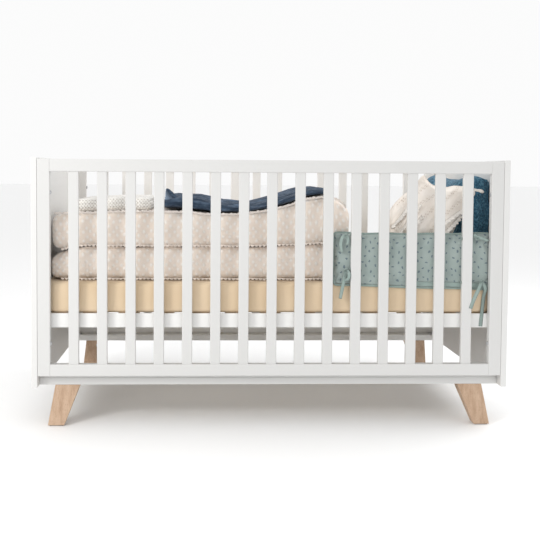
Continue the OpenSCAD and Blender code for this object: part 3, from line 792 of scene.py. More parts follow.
def ring(half_x, half_y, radius):
    """Rounded rectangle as (x, y), with the same number of points in every ring."""
    radius = min(radius, half_x * 0.98, half_y * 0.98)
    corners = [(half_x - radius, half_y - radius, 0), (-half_x + radius, half_y - radius, 90),
               (-half_x + radius, -half_y + radius, 180), (half_x - radius, -half_y + radius, 270)]
    straight = [2 * (half_x - radius), 2 * (half_y - radius)] * 2
    points = []
    for (cx, cy, start), steps, length in zip(corners, SIDE_STEPS * 2, straight):
        for k in range(CORNER_STEPS):
            angle = math.radians(start + 90 * k / CORNER_STEPS)
            points.append((cx + radius * math.cos(angle), cy + radius * math.sin(angle)))
        end = math.radians(start + 90)
        px, py = cx + radius * math.cos(end), cy + radius * math.sin(end)
        way = (math.cos(end + math.pi / 2), math.sin(end + math.pi / 2))
        for k in range(steps):
            points.append((px + way[0] * length * k / steps, py + way[1] * length * k / steps))
    return np.array(points)


def boxed_mattress(name, box, profile, chosen, closed, thickness=0.0, wrinkle=0.0):
    """Skin of a rounded block: profile lists each ring's (inset, height) from underneath to the
    top, thickness is the cloth's, and wrinkle is how deep its sides are drawn in."""
    half_x, half_y = box.width / 2, box.depth / 2
    rings = []
    run = 0.0
    last = None
    cloth = []
    for inset, z in profile:
        flat = ring(half_x - inset, half_y - inset, max(6 * MM, BED_CORNER - inset * 0.3))
        here = np.column_stack([flat, np.full(len(flat), z)])
        if last is not None:
            run += math.hypot(inset - last[0], z - last[1])
        last = (inset, z)
        rings.append(here)
        cloth.append(np.column_stack([distances(flat), np.full(len(flat), run), np.zeros(len(flat))]))
    grid = np.array(rings)
    size = grid.shape[1]
    if wrinkle:
        half_z = box.height / 2
        side = np.clip(1 - np.abs(grid[..., 2] - (box.z0 + box.z1) / 2) / half_z, 0, 1)
        corner = (np.abs(grid[..., 0]) / half_x) ** 8 * (np.abs(grid[..., 1]) / half_y) ** 4
        pull = ripple(grid * np.array([1, 1, 0.35]), (38, 38, 38), 3) * wrinkle * (side * 0.5 + corner * 1.5)
        soft = ripple(grid, (7, 7, 16), 5) * wrinkle * 1.2 * side
        amount = np.minimum(pull + soft - wrinkle, 0)
        grid[..., :2] += unit(grid[..., :2]) * amount[..., None]
    points = grid.reshape(-1, 3)
    faces = ring_faces(len(rings), size)
    top = (len(rings) - 1) * size
    faces.append(list(range(top, top + size)))
    if closed:
        faces.append(list(reversed(range(size))))
    made = make_object(name, points, faces, chosen, np.concatenate(cloth))
    if thickness:
        skin = made.modifiers.new("thickness", "SOLIDIFY")
        skin.thickness = thickness
        skin.offset = -1
    return made


def edge_profile(box, radius, inner_insets, turn_in=None):
    """(inset, height) from the turned-in hem or the underside's edge, round both edges, to the top."""
    profile = []
    if turn_in:
        profile += [(turn_in, box.z0 + 1.0 * MM), (turn_in * 0.6, box.z0 + 0.5 * MM), (radius * 1.3, box.z0)]
    else:
        profile += [(0.12, box.z0), (0.05, box.z0), (radius * 1.5, box.z0)]
    straight = box.height - 2 * radius
    turns = [math.radians(angle) for angle in range(0, 91, 15)]
    profile += [(radius * (1 - math.sin(a)), box.z0 + radius * (1 - math.cos(a))) for a in turns]
    profile += [(0, box.z0 + radius + share * straight) for share in (0.25, 0.5, 0.75)]
    profile += [(radius * (1 - math.cos(a)), box.z1 - radius * (1 - math.sin(a))) for a in turns]
    return profile + [(inset, box.z1) for inset in inner_insets]


def make_mattress():
    """The mattress, and the fitted sheet stretched over it."""
    ticking_box = Box("mattress", inset=(4 * MM, 4 * MM, 1 * MM))
    profile = edge_profile(ticking_box, 16 * MM, (0.03, 0.08, 0.16, 0.26))
    core = boxed_mattress("mattress_core", ticking_box, profile, TICKING, closed=True)
    finish_piece(core, "mattress_body", ["mattress"])
    profile = edge_profile(sheet_box, 15 * MM, (0.03, 0.06, 0.11, 0.17, 0.24), turn_in=60 * MM)
    cover = boxed_mattress("jersey_sheet", sheet_box, profile, OCHRE, closed=False,
                           thickness=0.8 * MM, wrinkle=0.7 * MM)
    finish_piece(cover, "mattress_body", ["fitted_sheet"])


# ---------------------------------------------------------------- folded quilts and blankets


def bend(y, middle, half, reach, start_up, power, count):
    """Turn of a fold as (y, level) points, out to y + reach and back to the other level. A power
    of 2 is a half ellipse, and more is squarer."""
    angles = np.linspace(math.pi / 2, -math.pi / 2, count)
    if not start_up:
        angles = -angles
    out = np.abs(np.cos(angles)) ** (2 / power)
    level = np.sign(np.sin(angles)) * np.abs(np.sin(angles)) ** (2 / power)
    return [(y + reach * o, middle + half * v) for o, v in zip(out, level)]


def folded_twice(front, back, layer):
    """Centre line of a cloth folded in half and in half again, as (y, level) points, where level
    goes from 0 to 1 through its four layers. The wide fold is at the front."""
    nose = 1.15 * layer
    line = [(back, 7 / 8), ((front + back) / 2, 7 / 8)]
    line += bend(front + layer / 2 + nose, 0.5, 3 / 8, -nose, True, 3.0, 19)
    line += [(back - layer, 1 / 8)]
    line += bend(back - layer, 0.25, 1 / 8, layer / 2, False, 2.0, 9)
    line += [((front + back) / 2, 3 / 8)]
    line += bend(front + 1.6 * layer + layer / 2, 0.5, 1 / 8, -layer / 2, False, 2.0, 9)
    line += [(back - 0.8 * layer, 5 / 8)]
    return line


def folded_in_three(front, back, layer):
    """Centre line of a cloth folded in three with its wide fold at the front."""
    line = [(back - layer, 1 / 6)]
    line += bend(front + layer * 1.3, 0.5, 1 / 3, -1.3 * layer, False, 2.2, 15)
    line += [((front + back) / 2, 5 / 6)]
    line += bend(back - layer / 2, 2 / 3, 1 / 6, layer / 2, True, 2.0, 9)
    line += [(front + 2.2 * layer, 1 / 2)]
    return line


def folded_piece(name, line, x0, x1, under, over, chosen, step, thickness, end_soft, seed, waves):
    """Folded cloth: line is its centre line as (y, level), under(x) and over(x) are the heights
    between which its layers lie. waves lists the (size, (scale on X, along and up), seed) of its
    unevenness. Returns the object and the length of cloth along the line."""
    height = float(np.mean(over(np.array([x0, x1])) - under(np.array([x0, x1]))))
    real = [(y, level * height) for y, level in line]
    path, run = resample(real, step)
    levels = path[:, 1] / height
    columns = max(6, int(round((x1 - x0) / step)) + 1)
    share = np.linspace(0, 1, columns)
    uneven = np.array([noise.noise(Vector((r * 3.1, seed * 9.7, 0))) for r in run])
    uneven_end = np.array([noise.noise(Vector((r * 2.7, 40 + seed * 5.3, 0))) for r in run])
    start = x0 - end_soft * 0.2 + end_soft * 0.25 * (1 + uneven)
    stop = x1 - end_soft * 0.3 * (1 + uneven_end)
    x = start[:, None] + share[None, :] * (stop - start)[:, None]
    low, high = under(x), over(x)
    end_gap = np.minimum(x - x0, x1 - x)
    pinch = 1 - 0.42 * np.exp(-np.maximum(end_gap, 0) / end_soft)
    level = 0.5 + (levels[:, None] - 0.5) * pinch
    level = np.where(levels[:, None] < 0.3, levels[:, None] * 0.5 + level * 0.5, level)
    y = np.repeat(path[:, :1], columns, axis=1)
    middle = np.stack([x, y, low + level * (high - low)], axis=2)
    half = thickness / 2 * (high - low) / height * np.ones_like(x)
    along = np.minimum(run, run[-1] - run)[:, None] * np.ones_like(x)
    across = np.minimum(x - x[:, :1], x[:, -1:] - x)
    half = half * (rounded(along, 0.6 * thickness) * rounded(across, 0.6 * thickness))
    cloth = flat_places(x, np.repeat(run[:, None], columns, axis=1))
    normal = surface_normals(middle)
    for size, scale, number in waves:
        middle += normal * (ripple(cloth, scale, number) * size)[..., None]
    made = slab(name, middle, half, chosen, cloth)
    return made, float(run[-1])


lower_box = Box("lower_quilt")
upper_box = Box("upper_quilt")
knit_box = Box("knitted_blanket")
muslin_box = Box("muslin_wrap")
quilt_right = lower_box.x1
GAP = 0.8 * MM


def rise(x, points):
    """Height at x, in straight steps through (distance from the quilts' right end, height) points."""
    places = [quilt_right - d for d, _ in points]
    heights = [h for _, h in points]
    return np.interp(x, places, heights)


LOWER_LIFT = [(0.96, -26 * MM), (0.90, -16 * MM), (0.86, -3 * MM), (0.82, 0), (0.30, 0), (0.20, 5 * MM),
              (0.10, 9 * MM), (0.0, 12 * MM)]
HUMP = [(0.96, 104 * MM), (0.84, 108 * MM), (0.72, 113 * MM), (0.60, 113 * MM), (0.50, 110 * MM),
        (0.42, 103 * MM), (0.34, 106 * MM), (0.27, 116 * MM), (0.19, 136 * MM), (0.14, 156 * MM),
        (0.07, 163 * MM), (0.028, 146 * MM), (0.0, 98 * MM)]


def soft_rise(points):
    """The same profile, rounded off."""
    def height(x):
        total = 0
        for shift, weight in ((-0.02, 0.25), (0.0, 0.5), (0.02, 0.25)):
            total = total + weight * rise(np.asarray(x) + shift, points)
        return total
    return height


lower_lift = soft_rise(LOWER_LIFT)
hump = soft_rise(HUMP)


def lower_top(x):
    return lower_box.z1 + lower_lift(x)


def upper_under(x):
    """The upper quilt's left end curls up off the lower one."""
    curl = np.exp(-np.maximum(np.asarray(x) - upper_box.x0, 0) / (22 * MM))
    return lower_top(x) + GAP + 17 * MM * curl


def upper_top(x):
    return upper_box.z0 + hump(x)


def bed_top(x):
    return np.full_like(np.asarray(x, float), BED_TOP + GAP)


def make_quilts():
    """Two padded quilts, one on the other, each folded twice with the wide fold in front."""
    layer = lower_box.height / 4
    puffs = [(4.5 * MM, (10, 12, 1), 1), (2.2 * MM, (26, 22, 1), 2), (0.8 * MM, (70, 60, 1), 3)]
    quilts = [
        ("lower_folded_quilt", "lower_quilt", lower_box, bed_top, lower_top),
        ("upper_folded_quilt", "upper_quilt", upper_box, upper_under, upper_top),
    ]
    for seed, (name, node, box, under, over) in enumerate(quilts, start=1):
        line = folded_twice(box.y0, box.y1, layer)
        piece, _ = folded_piece(name, line, box.x0, box.x1, under, over, DOTTED, step=11 * MM,
                                thickness=layer * 0.95, end_soft=15 * MM, seed=seed, waves=puffs)
        limit(piece, 2, low=BED_TOP + 0.3 * MM)
        finish_piece(piece, "quilts_body", [node], subdivisions=1)


def make_knit():
    """Chunky knitted blanket, folded twice, on the upper quilt."""
    layer = knit_box.height / 4
    line = folded_twice(knit_box.y0, knit_box.y1, layer)
    waves = [(1.6 * MM, (14, 14, 1), 4), (1.0 * MM, (45, 45, 1), 5)]
    piece, length = folded_piece("folded_knit", line, knit_box.x0, knit_box.x1,
                                 lambda x: upper_top(x) + 2 * MM, lambda x: upper_top(x) + 41 * MM,
                                 KNIT, step=5 * MM, thickness=layer * 0.9, end_soft=10 * MM,
                                 seed=3, waves=waves)
    finish_piece(piece, "quilts_body", ["knitted_blanket"], subdivisions=1)


MUSLIN_PLACE = (0, 0.08, 0.22, 0.37, 0.54, 0.71, 1)
MUSLIN_THICK = (45, 52, 55, 38, 21, 27, 24)


def muslin_top(x):
    """The muslin is bunched at its left end and lies thinner over the dip and the hump."""
    share = (np.asarray(x) - muslin_box.x0) / muslin_box.width
    return upper_top(x) + np.interp(share, MUSLIN_PLACE, MUSLIN_THICK) * MM


def make_muslin():
    """Crinkled muslin, folded in three, lying along the upper quilt, with one corner turned up."""
    waves = [(6.0 * MM, (4, 18, 1), 6), (6.5 * MM, (6, 62, 1), 7), (3.0 * MM, (18, 140, 1), 8)]
    depth = 12 * MM
    line = folded_in_three(muslin_box.y0, muslin_box.y1, depth)
    piece, length = folded_piece("muslin_cloth", line, muslin_box.x0, muslin_box.x1,
                                 lambda x: upper_top(x) + 1.5 * MM, muslin_top,
                                 NAVY, step=3.5 * MM, thickness=1.8 * MM, end_soft=14 * MM,
                                 seed=4, waves=waves)
    finish_piece(piece, "quilts_body", ["muslin_wrap"])
    corner = muslin_corner()
    finish_piece(corner, "quilts_body")


def muslin_corner():
    """Corner of the muslin, folded back and standing up as a curled point, with painted light shining through
    its lower left part.
    """
    x = muslin_box.x0 + 8 * MM
    y = muslin_box.y0 + 12 * MM
    z = float(upper_top(np.array([x]))[0])
    rows, columns = 22, 16
    tall = 44 * MM
    along = np.linspace(0, 1, rows)[:, None]
    across = np.linspace(-1, 1, columns)[None, :]
    wide = 30 * MM * (1 - along) ** 0.75 + 2 * MM
    px = x + 26 * MM + across * wide - 22 * MM * along ** 1.4 * np.ones_like(across)
    py = y + 16 * MM * across ** 2 * (1 - 0.5 * along) - 4 * MM * along
    pz = z + 26 * MM + tall * along - 12 * MM * across ** 2 * (1 - along)
    middle = np.stack([px, py, pz], axis=2)
    creased = np.stack([across * wide * 60, along * np.ones_like(across) * 1.2, 0 * px], axis=2)
    middle[..., 1] += 3 * MM * ripple(creased, (1, 1, 1), 12)
    # Painted light: a share of light blue on the lower left of the corner, for light shining through the thin
    # muslin, kept in the cloth attribute's third part.
    light = np.clip(0.55 - across * 1.2 - along * 1.1, 0, 0.9)
    every = np.ones_like(px)
    cloth = np.stack([across * wide, along * tall * every, light * every], axis=2)
    return slab("muslin_corner", middle, 1.0 * MM * inner((rows, columns)), NAVY, cloth)


# ---------------------------------------------------------------- lace strips


STRIP_ROWS = 7


def strip(name, spine, out, up, width, chosen, scallop, pitch, wave, wave_pitch, thickness=0.8 * MM):
    """Thin strip of lace or tape along a spine. It reaches width along out, and its free edge is
    scalloped and waves along up."""
    spine = np.asarray(spine, float)
    out = np.broadcast_to(np.asarray(out, float), spine.shape)
    up = np.broadcast_to(np.asarray(up, float), spine.shape)
    run = distances(spine)
    share = np.linspace(0, 1, STRIP_ROWS)
    lobes = np.abs(np.sin(math.pi * run / pitch)) ** 0.7
    reach = width - scallop * (1 - lobes)
    swing = wave * np.sin(2 * math.pi * run / wave_pitch + 1.3 * np.sin(run * 31))
    middle = (spine[:, None, :] + out[:, None, :] * (share[None, :] * reach[:, None])[..., None]
              + up[:, None, :] * (share[None, :] ** 1.5 * swing[:, None])[..., None])
    cloth = flat_places(np.repeat(run[:, None], STRIP_ROWS, axis=1), share[None, :] * reach[:, None])
    return slab(name, middle, thickness / 2 * inner(middle.shape), chosen, cloth)


def make_quilt_lace():
    """Scalloped edging along the front of each quilt: a deeply scalloped hem that hangs over the
    crease, and a wider edging that rises round the upper quilt's top."""
    hem = {
        "starts": 34 * MM, "depth": 5.5 * MM, "out": (0, -0.22, -0.975), "up": (0, -0.975, 0.22),
        "width": 7.5 * MM, "scallop": 6.8 * MM, "chosen": HEM_LACE,
    }
    edging = {
        "starts": 14 * MM, "depth": 10.5 * MM, "out": (0, -0.70, 0.71), "up": (0, -0.71, -0.70),
        "width": 11.5 * MM, "scallop": 3.6 * MM, "chosen": QUILT_LACE,
    }
    spots = [
        ("lower_quilt_hem_lace", lower_box, lambda x: bed_top(x) + 8.5 * MM, hem),
        ("upper_quilt_hem_lace", upper_box, lambda x: upper_under(x) + 8.5 * MM, hem),
        ("upper_quilt_top_lace", upper_box, lambda x: upper_top(x) - 5 * MM, edging),
    ]
    for number, (name, box, height, kind) in enumerate(spots):
        x = np.arange(box.x0 + kind["starts"], box.x1 - 18 * MM, 1.5 * MM)
        sway = np.array([noise.noise(Vector((v * 22, number * 3.3, 0))) for v in x])
        y = box.y0 + kind["depth"] + 1.5 * MM * sway
        spine = np.stack([x, y, height(x) + 1.5 * MM * sway], axis=1)
        made = strip(name, spine, kind["out"], kind["up"], kind["width"], kind["chosen"],
                     kind["scallop"], pitch=12 * MM, wave=1.2 * MM, wave_pitch=22 * MM)
        finish_piece(made, "quilts_body")


# ---------------------------------------------------------------- cushions


def border_loop(grid):
    """Closed line round a grid of points, its corners eased."""
    return eased(np.concatenate([grid[0, :-1], grid[:-1, -1], grid[-1, :0:-1], grid[:0:-1, 0]]), 3)


def welt(name, body, loop, radius, chosen, flat):
    """Corded seam on a cushion's surface, where its edge line comes nearest to it."""
    tree = tree_of(body)
    line = eased(np.array([tree.find_nearest(Vector(p))[0] for p in loop]), 4)
    return sweep(name, line, 8, (radius, radius), chosen, flat=flat)


def cushion(name, corners, outward, thickness, chosen, pull, dip, full, square):
    """Closed cushion on four corners, in order round it, with a flat back. Its sides pull in
    between the corners and its top dips."""
    count = 44
    a, b, c, d = (np.array(p, float) for p in corners)
    u, v = np.meshgrid(np.linspace(-1, 1, count), np.linspace(-1, 1, count))
    wide = u * (1 - pull * (1 - v * v))
    tall = v * (1 - np.where(v > 0, dip, pull) * (1 - u * u))
    s, t = ((wide + 1) / 2)[..., None], ((tall + 1) / 2)[..., None]
    middle = (1 - t) * ((1 - s) * a + s * b) + t * ((1 - s) * d + s * c)
    half = thickness / 2 * ((1 - np.abs(u) ** square) * (1 - np.abs(v) ** square)) ** full
    side = np.array(outward, float)
    if np.dot(surface_normals(middle)[count // 2, count // 2], side) < 0:
        middle = middle[:, ::-1]
        u = u[:, ::-1]
    middle = middle + side * half[..., None] * 0.96
    cloth = flat_places(u * np.linalg.norm(b - a) / 2, v * np.linalg.norm(d - a) / 2)
    return slab(name, middle, half, chosen, cloth), border_loop(middle)


pillow_box = Box("lace_pillow")
cushion_box = Box("fleece_cushion")
bumper_box = Box("bumper")


def pillow_spot(across, up):
    """(x, z) of a place that is given as shares of the width and height of the pillow's box."""
    return pillow_box.x0 + across * pillow_box.width, pillow_box.z0 + up * pillow_box.height


def edge_curve(points, count):
    """Even points on the smooth curve through (across, up) shares of the pillow's box."""
    path = smooth_path([(*pillow_spot(*point), 0) for point in points], 2 * MM)
    run = np.linspace(0, len(path) - 1, count)
    index = np.arange(len(path))
    return np.stack([np.interp(run, index, path[:, k]) for k in (0, 1)], axis=1)


def pillow_patch(count):
    """The pillow's outline filled in, as a grid of (x, z) points: one corner up, the right-hand
    corner drawn out to a knot, the left side slumped outwards."""
    slumped = [(0.02, 0.0), (-0.10, 0.30), (-0.09, 0.62), (0.04, 0.80), (0.20, 0.90), (0.34, 1.04)]
    left = edge_curve(slumped, count)
    right = edge_curve([(0.60, 0.0), (0.66, 0.22), (0.78, 0.50), (0.93, 0.74), (1.05, 0.875)], count)
    bottom = edge_curve([(0.02, 0.0), (0.32, -0.005), (0.60, 0.0)], count)
    top = edge_curve([(0.34, 1.04), (0.43, 0.965), (0.56, 0.925), (0.80, 0.915), (1.05, 0.875)], count)
    s, t = np.meshgrid(np.linspace(0, 1, count), np.linspace(0, 1, count))
    s, t = s[..., None], t[..., None]
    sides = (1 - s) * left[:, None] + s * right[:, None]
    ends = (1 - t) * bottom[None] + t * top[None]
    corners = ((1 - s) * (1 - t) * bottom[0] + s * (1 - t) * bottom[-1]
               + (1 - s) * t * top[0] + s * t * top[-1])
    return sides + ends - corners, s[..., 0], t[..., 0]


def make_pillow():
    """Pillow that leans on the fleece cushion, pleated on the slant, its corner knotted."""
    count = 56
    patch, s, t = pillow_patch(count)
    u, v = 2 * s - 1, 2 * t - 1
    lean = pillow_box.y0 + 44 * MM + 8 * MM * t
    middle = np.stack([patch[..., 0], lean, patch[..., 1]], axis=2)
    half = 40 * MM * (np.clip(1 - u**2, 0, 1) * np.clip(1 - v**2, 0, 1)) ** 0.40
    half *= 1 - 0.25 * np.clip(s - 0.6, 0, 1)
    half_side = 0.15
    cloth = flat_places(u * half_side, v * half_side)
    # The columns are turned round, so that the slab's faces look outwards.
    middle, half, cloth = middle[:, ::-1], half[:, ::-1], cloth[:, ::-1]
    edge = border_loop(middle)
    body = slab("lace_pillow_cover", middle, half, PILLOW, cloth)
    puff(body, voxel=5 * MM, pressure=3.0, cap=9 * MM, shrink=-0.05)
    pleat(body)
    limit(body, 2, low=BED_TOP + 0.5 * MM)
    limit(body, 1, low=bumper_box.y1 + 0.5 * MM)
    seam = welt("lace_pillow_seam", body, edge, 1.6 * MM, PILLOW, (0, 1, 0))
    finish_piece(seam, "cushions_body")
    finish_piece(body, "cushions_body", ["lace_pillow"], subdivisions=1)
    return body, edge


def pleat(body):
    """Presses slanting pleats and loose creases into the pillow's cover."""
    points = np.array([vertex.co for vertex in body.data.vertices])
    normals = np.array([vertex.normal for vertex in body.data.vertices])
    slant = points[:, 2] * 0.66 - points[:, 0] * 0.75
    share = (points[:, 0] - pillow_box.x0) / pillow_box.width
    sway = ripple(points, (18, 18, 18), 21) * 9 * MM
    fold = np.abs(np.sin(math.pi * (slant + sway) / (19 * MM))) ** 0.6
    strength = np.clip(1.15 - 1.7 * share, 0.15, 1)
    crease = ripple(np.stack([slant * 3.2, points[:, 1], (points[:, 0] + points[:, 2]) * 0.5], axis=1),
                    (16, 16, 16), 22)
    amount = (fold - 1) * 4.5 * MM * strength + crease * 3.5 * MM
    moved = points + normals * amount[:, None]
    body.data.vertices.foreach_set("co", moved.astype(np.float32).ravel())
    body.data.update()


def laid_line(tree, start, end, step):
    """Points on a piece's front face from start to end, both (x, z), and the face's normals."""
    count = max(6, int(math.dist(start, end) / step))
    points, normals = [], []
    for t in np.linspace(0, 1, count):
        x = start[0] + t * (end[0] - start[0])
        z = start[1] + t * (end[1] - start[1])
        point, normal, _, _ = tree.ray_cast(Vector((x, -3, z)), Vector((0, 1, 0)))
        if point is not None:
            points.append(point)
            normals.append(normal if normal.y < 0 else -normal)
    return np.array(points), np.array(normals)


def make_pillow_lace(body):
    """Ruffles sewn across the pillow, each from one (across, up) share of its box to another."""
    ruffles = [
        ((0.22, 0.82), (-0.05, 0.52)), ((0.26, 0.74), (-0.03, 0.40)), ((0.28, 0.63), (0.06, 0.38)),
        ((0.78, 0.64), (0.50, 0.42)), ((0.84, 0.72), (0.46, 0.52)), ((0.96, 0.80), (0.82, 0.54)),
    ]
    tree = tree_of(body)
    for number, (start, end) in enumerate(ruffles, start=1):
        spine, normals = laid_line(tree, pillow_spot(*start), pillow_spot(*end), 2 * MM)
        if len(spine) < 8:
            continue
        across = np.cross(directions(spine), normals)
        across *= np.sign(across[:, 2:3].mean()) * -1
        out = across * 0.8 + normals * 0.6
        made = strip(f"pillow_ruffle_{number}", spine + normals * 0.6 * MM, out, normals, 14 * MM,
                     PILLOW_LACE, scallop=2.4 * MM, pitch=9 * MM, wave=2.4 * MM, wave_pitch=15 * MM)
        finish_piece(made, "cushions_body")


def make_corner_knot(edge):
    """The pillow's drawn-out corner, with a short ruffle under it."""
    tip = edge[np.argmax(edge[:, 0])] + np.array([-4 * MM, -6 * MM, -2 * MM])
    steps = ((-17, -2, 2), (-7, -4, 1), (2, -5, 0), (9, -6, -3), (15, -7, -5))
    path = smooth_path([tip + np.array(step) * MM for step in steps], 1.5 * MM)
    share = np.linspace(0, 1, len(path))
    taper = np.interp(share, (0, 0.5, 0.75, 0.92, 1), (1.5, 1.0, 1.15, 0.8, 0.25))
    made = sweep("pillow_corner_knot", path, 12, (5 * MM, 4 * MM), PILLOW, closed=False, taper=taper)
    finish_piece(made, "cushions_body")
    steps = ((-14, 0, -8), (-17, -1, -20), (-22, 0, -36))
    path = smooth_path([tip + np.array(step) * MM for step in steps], 1.5 * MM)
    made = strip("pillow_corner_ruffle", path, (0.94, -0.34, 0), (0.34, 0.94, 0), 13 * MM, PILLOW_LACE,
                 scallop=1.6 * MM, pitch=7 * MM, wave=1.6 * MM, wave_pitch=13 * MM)
    finish_piece(made, "cushions_body")


def make_fleece_cushion():
    """Fleece cushion on its edge, its back flat against the right-hand end panel."""
    back = cushion_box.x1 - 2 * MM
    y0, y1 = cushion_box.y0 + 3 * MM, cushion_box.y1 - 3 * MM
    z0, z1 = cushion_box.z0 + 3 * MM, cushion_box.z1 - 8 * MM
    bent = 24 * MM
    corners = [(back, y0, z0), (back - bent, y1, z0), (back - bent, y1, z1 + 8 * MM), (back, y0, z1 + 4 * MM)]
    thick = back - cushion_box.x0 - 3 * MM
    body, edge = cushion("fleece_cushion_cover", corners, (-1, 0, 0), thick, FLEECE, pull=0.015,
                         dip=0.11, full=0.45, square=9)
    puff(body, voxel=6 * MM, pressure=4.0, cap=10 * MM, shrink=-0.03)
    limit(body, 0, high=cushion_box.x1 + 1 * MM)
    limit(body, 2, low=BED_TOP + 0.5 * MM)
    seam = welt("fleece_cushion_seam", body, edge, 2.2 * MM, FLEECE, (1, 0, 0))
    finish_piece(seam, "cushions_body")
    finish_piece(body, "cushions_body", ["fleece_cushion"], subdivisions=1)


# ---------------------------------------------------------------- bumper and its ties


bumper_right = bumper_box.x1 + 9 * MM


def bumper_share(x):
    """How far along the bumper x is: 0 at its left end and 1 at its right."""
    return (x - bumper_box.x0) / (bumper_right - bumper_box.x0)


def bumper_bottom(x):
    """The bumper's lower edge hangs a little lower at its right-hand end."""
    share = bumper_share(x)
    sag = 9 * MM * (1 - share) ** 1.5 - 6 * MM * share**4
    return bumper_box.z0 + 5 * MM + sag + 1.2 * MM * np.sin(share * 9)


def bumper_top(x):
    share = bumper_share(x)
    return bumper_box.z1 + 2 * MM - 3 * MM * np.sin(share * math.pi) + 1.2 * MM * np.sin(share * 23)


def make_bumper():
    """Padded panel behind the front slats, gathered at its left-hand end, with bound edges."""
    columns, rows = 90, 32
    x = np.linspace(bumper_box.x0 + 2 * MM, bumper_right - 2 * MM, columns)
    share = np.linspace(0, 1, rows)
    low, high = bumper_bottom(x), bumper_top(x)
    z = low[None, :] + share[:, None] * (high - low)[None, :]
    grid_x = np.repeat(x[None, :], rows, axis=0)
    above = np.clip((z - BED_TOP) / (20 * MM), 0, 1)
    y_hem = bumper_box.y0 + 3.4 * MM
    y_mid = y_hem + bumper_box.depth * 0.42 * above
    gather = np.exp(-(grid_x - bumper_box.x0) / (22 * MM))
    y_mid = y_mid + 2.6 * MM * gather * np.sin(z / (4.2 * MM) + 6 * gather) * above
    middle = np.stack([grid_x, y_mid, z], axis=2)
    cloth = flat_places(grid_x, z)
    border = np.minimum(rounded(z - low, 5 * MM), rounded(high - z, 14 * MM))
    border *= rounded(np.minimum(grid_x - x[0], x[-1] - grid_x), 14 * MM)
    half = (2.7 * MM + 6.6 * MM * above) * border
    body = slab("bumper_panel", middle, half, SAGE, cloth)

    def held(points):
        near = np.minimum(points[:, 2] - bumper_bottom(points[:, 0]), bumper_top(points[:, 0]) - points[:, 2])
        return np.where((near < 7 * MM) | (points[:, 2] < BED_TOP + 2 * MM), 1.0, 0.0)

    puff(body, voxel=4 * MM, pressure=3.0, cap=7 * MM, shrink=-0.04, held=held)
    limit(body, 1, low=bumper_box.y0 - 1 * MM, high=bumper_box.y1 + 4 * MM)
    finish_piece(body, "bumper_body", ["bumper"])
    return middle


def sweep(name, path, sides, radii, chosen, closed=True, flat=(0, 1, 0), taper=1.0):
    """Rounded band along a path: radii are its half size in the path's plane and along flat, and
    taper is a factor on them at each point."""
    path = np.asarray(path, float)
    count = len(path)
    if closed:
        way = np.roll(path, -1, axis=0) - np.roll(path, 1, axis=0)
    else:
        way = np.gradient(path, axis=0)
    across = np.broadcast_to(np.array(flat, float), path.shape)
    out = unit(np.cross(unit(way), across))
    angles = np.linspace(0, 2 * math.pi, sides, endpoint=False)
    size = taper * np.ones(count)
    rings = [
        path + size[:, None] * (out * (radii[0] * math.cos(a)) + across * (radii[1] * math.sin(a)))
        for a in angles
    ]
    points = np.stack(rings, axis=1).reshape(-1, 3)
    faces = ring_faces(count, sides, closed)
    if not closed:
        faces.append(list(reversed(range(sides))))
        faces.append([(count - 1) * sides + k for k in range(sides)])
    return make_object(name, points, faces, chosen, points)


def make_hem_band():
    """Plain turned-up hem along the lower right-hand part of the bumper's front."""
    x = np.arange(bumper_box.x0 + 0.5 * (bumper_right - bumper_box.x0), bumper_right - 8 * MM, 3 * MM)
    share = (x - x[0]) / (x[-1] - x[0])
    z = bumper_bottom(x) + 3 * MM
    y = np.full_like(x, bumper_box.y0 - 0.1 * MM) + 0.5 * MM * np.sin(share * 30)
    spine = np.stack([x, y, z], axis=1)
    made = strip("bumper_hem_band", spine, (0, 0, 1), (0, -1, 0), 16 * MM, SAGE_TAPE, scallop=0.0,
                 pitch=0.05, wave=0.5 * MM, wave_pitch=70 * MM, thickness=1.2 * MM)
    finish_piece(made, "bumper_body")


def make_binding(middle):
    """Plain tape folded over the bumper's edge, all the way round."""
    made = sweep("bumper_binding_tape", border_loop(middle), 10, (3.6 * MM, 2.4 * MM), SAGE_TAPE)
    finish_piece(made, "bumper_body")


def ribbon(path, across, width, thickness):
    """Flat strap along a path, its width along across at each point."""
    rows = 5
    share = np.linspace(-0.5, 0.5, rows)
    middle = path[:, None, :] + across[:, None, :] * (share[None, :] * width)[..., None]
    run = np.repeat(distances(path)[:, None], rows, axis=1)
    cloth = flat_places(run, np.broadcast_to(share * width, run.shape))
    return slab("strap", middle, thickness / 2 * inner(middle.shape), SAGE_TAPE, cloth)


slat_box = Box("front_slats")
SLAT_COUNT = 15
TIE_W = 9 * MM


def slat_place(index):
    """Middle of a front slat along X, from the slats' whole width."""
    first, last = slat_box.x0, slat_box.x1
    width = slat_width()
    return first + width / 2 + index * (last - first - width) / (SLAT_COUNT - 1)


def slat_width():
    xs = sorted({round(v.co.x, 5) for v in nodes["front_slats"].data.vertices})
    gaps = [(b - a, a) for a, b in zip(xs, xs[1:]) if b - a > 40 * MM]
    return gaps[0][1] - xs[0]


def strap_behind_slat(index, z, tilt):
    """Strap that passes behind a slat from one of its edges to the other, drooping a little."""
    x = slat_place(index)
    half_x = slat_width() / 2 + 1.6 * MM
    y_mid = (slat_box.y0 + slat_box.y1) / 2
    half_y = slat_box.depth / 2 + 1.6 * MM
    points = []
    for angle in np.linspace(-0.1 * math.pi, 1.1 * math.pi, 31):
        c, s = math.cos(angle), math.sin(angle)
        px = half_x * np.sign(c) * abs(c) ** 0.35
        py = half_y * np.sign(s) * abs(s) ** 0.35
        points.append((x + px, y_mid + py, z + tilt * px / half_x))
    path, _ = resample(points, 2.5 * MM)
    across = np.tile([0.0, 0.0, 1.0], (len(path), 1))
    return ribbon(path, across, TIE_W, 1.1 * MM)


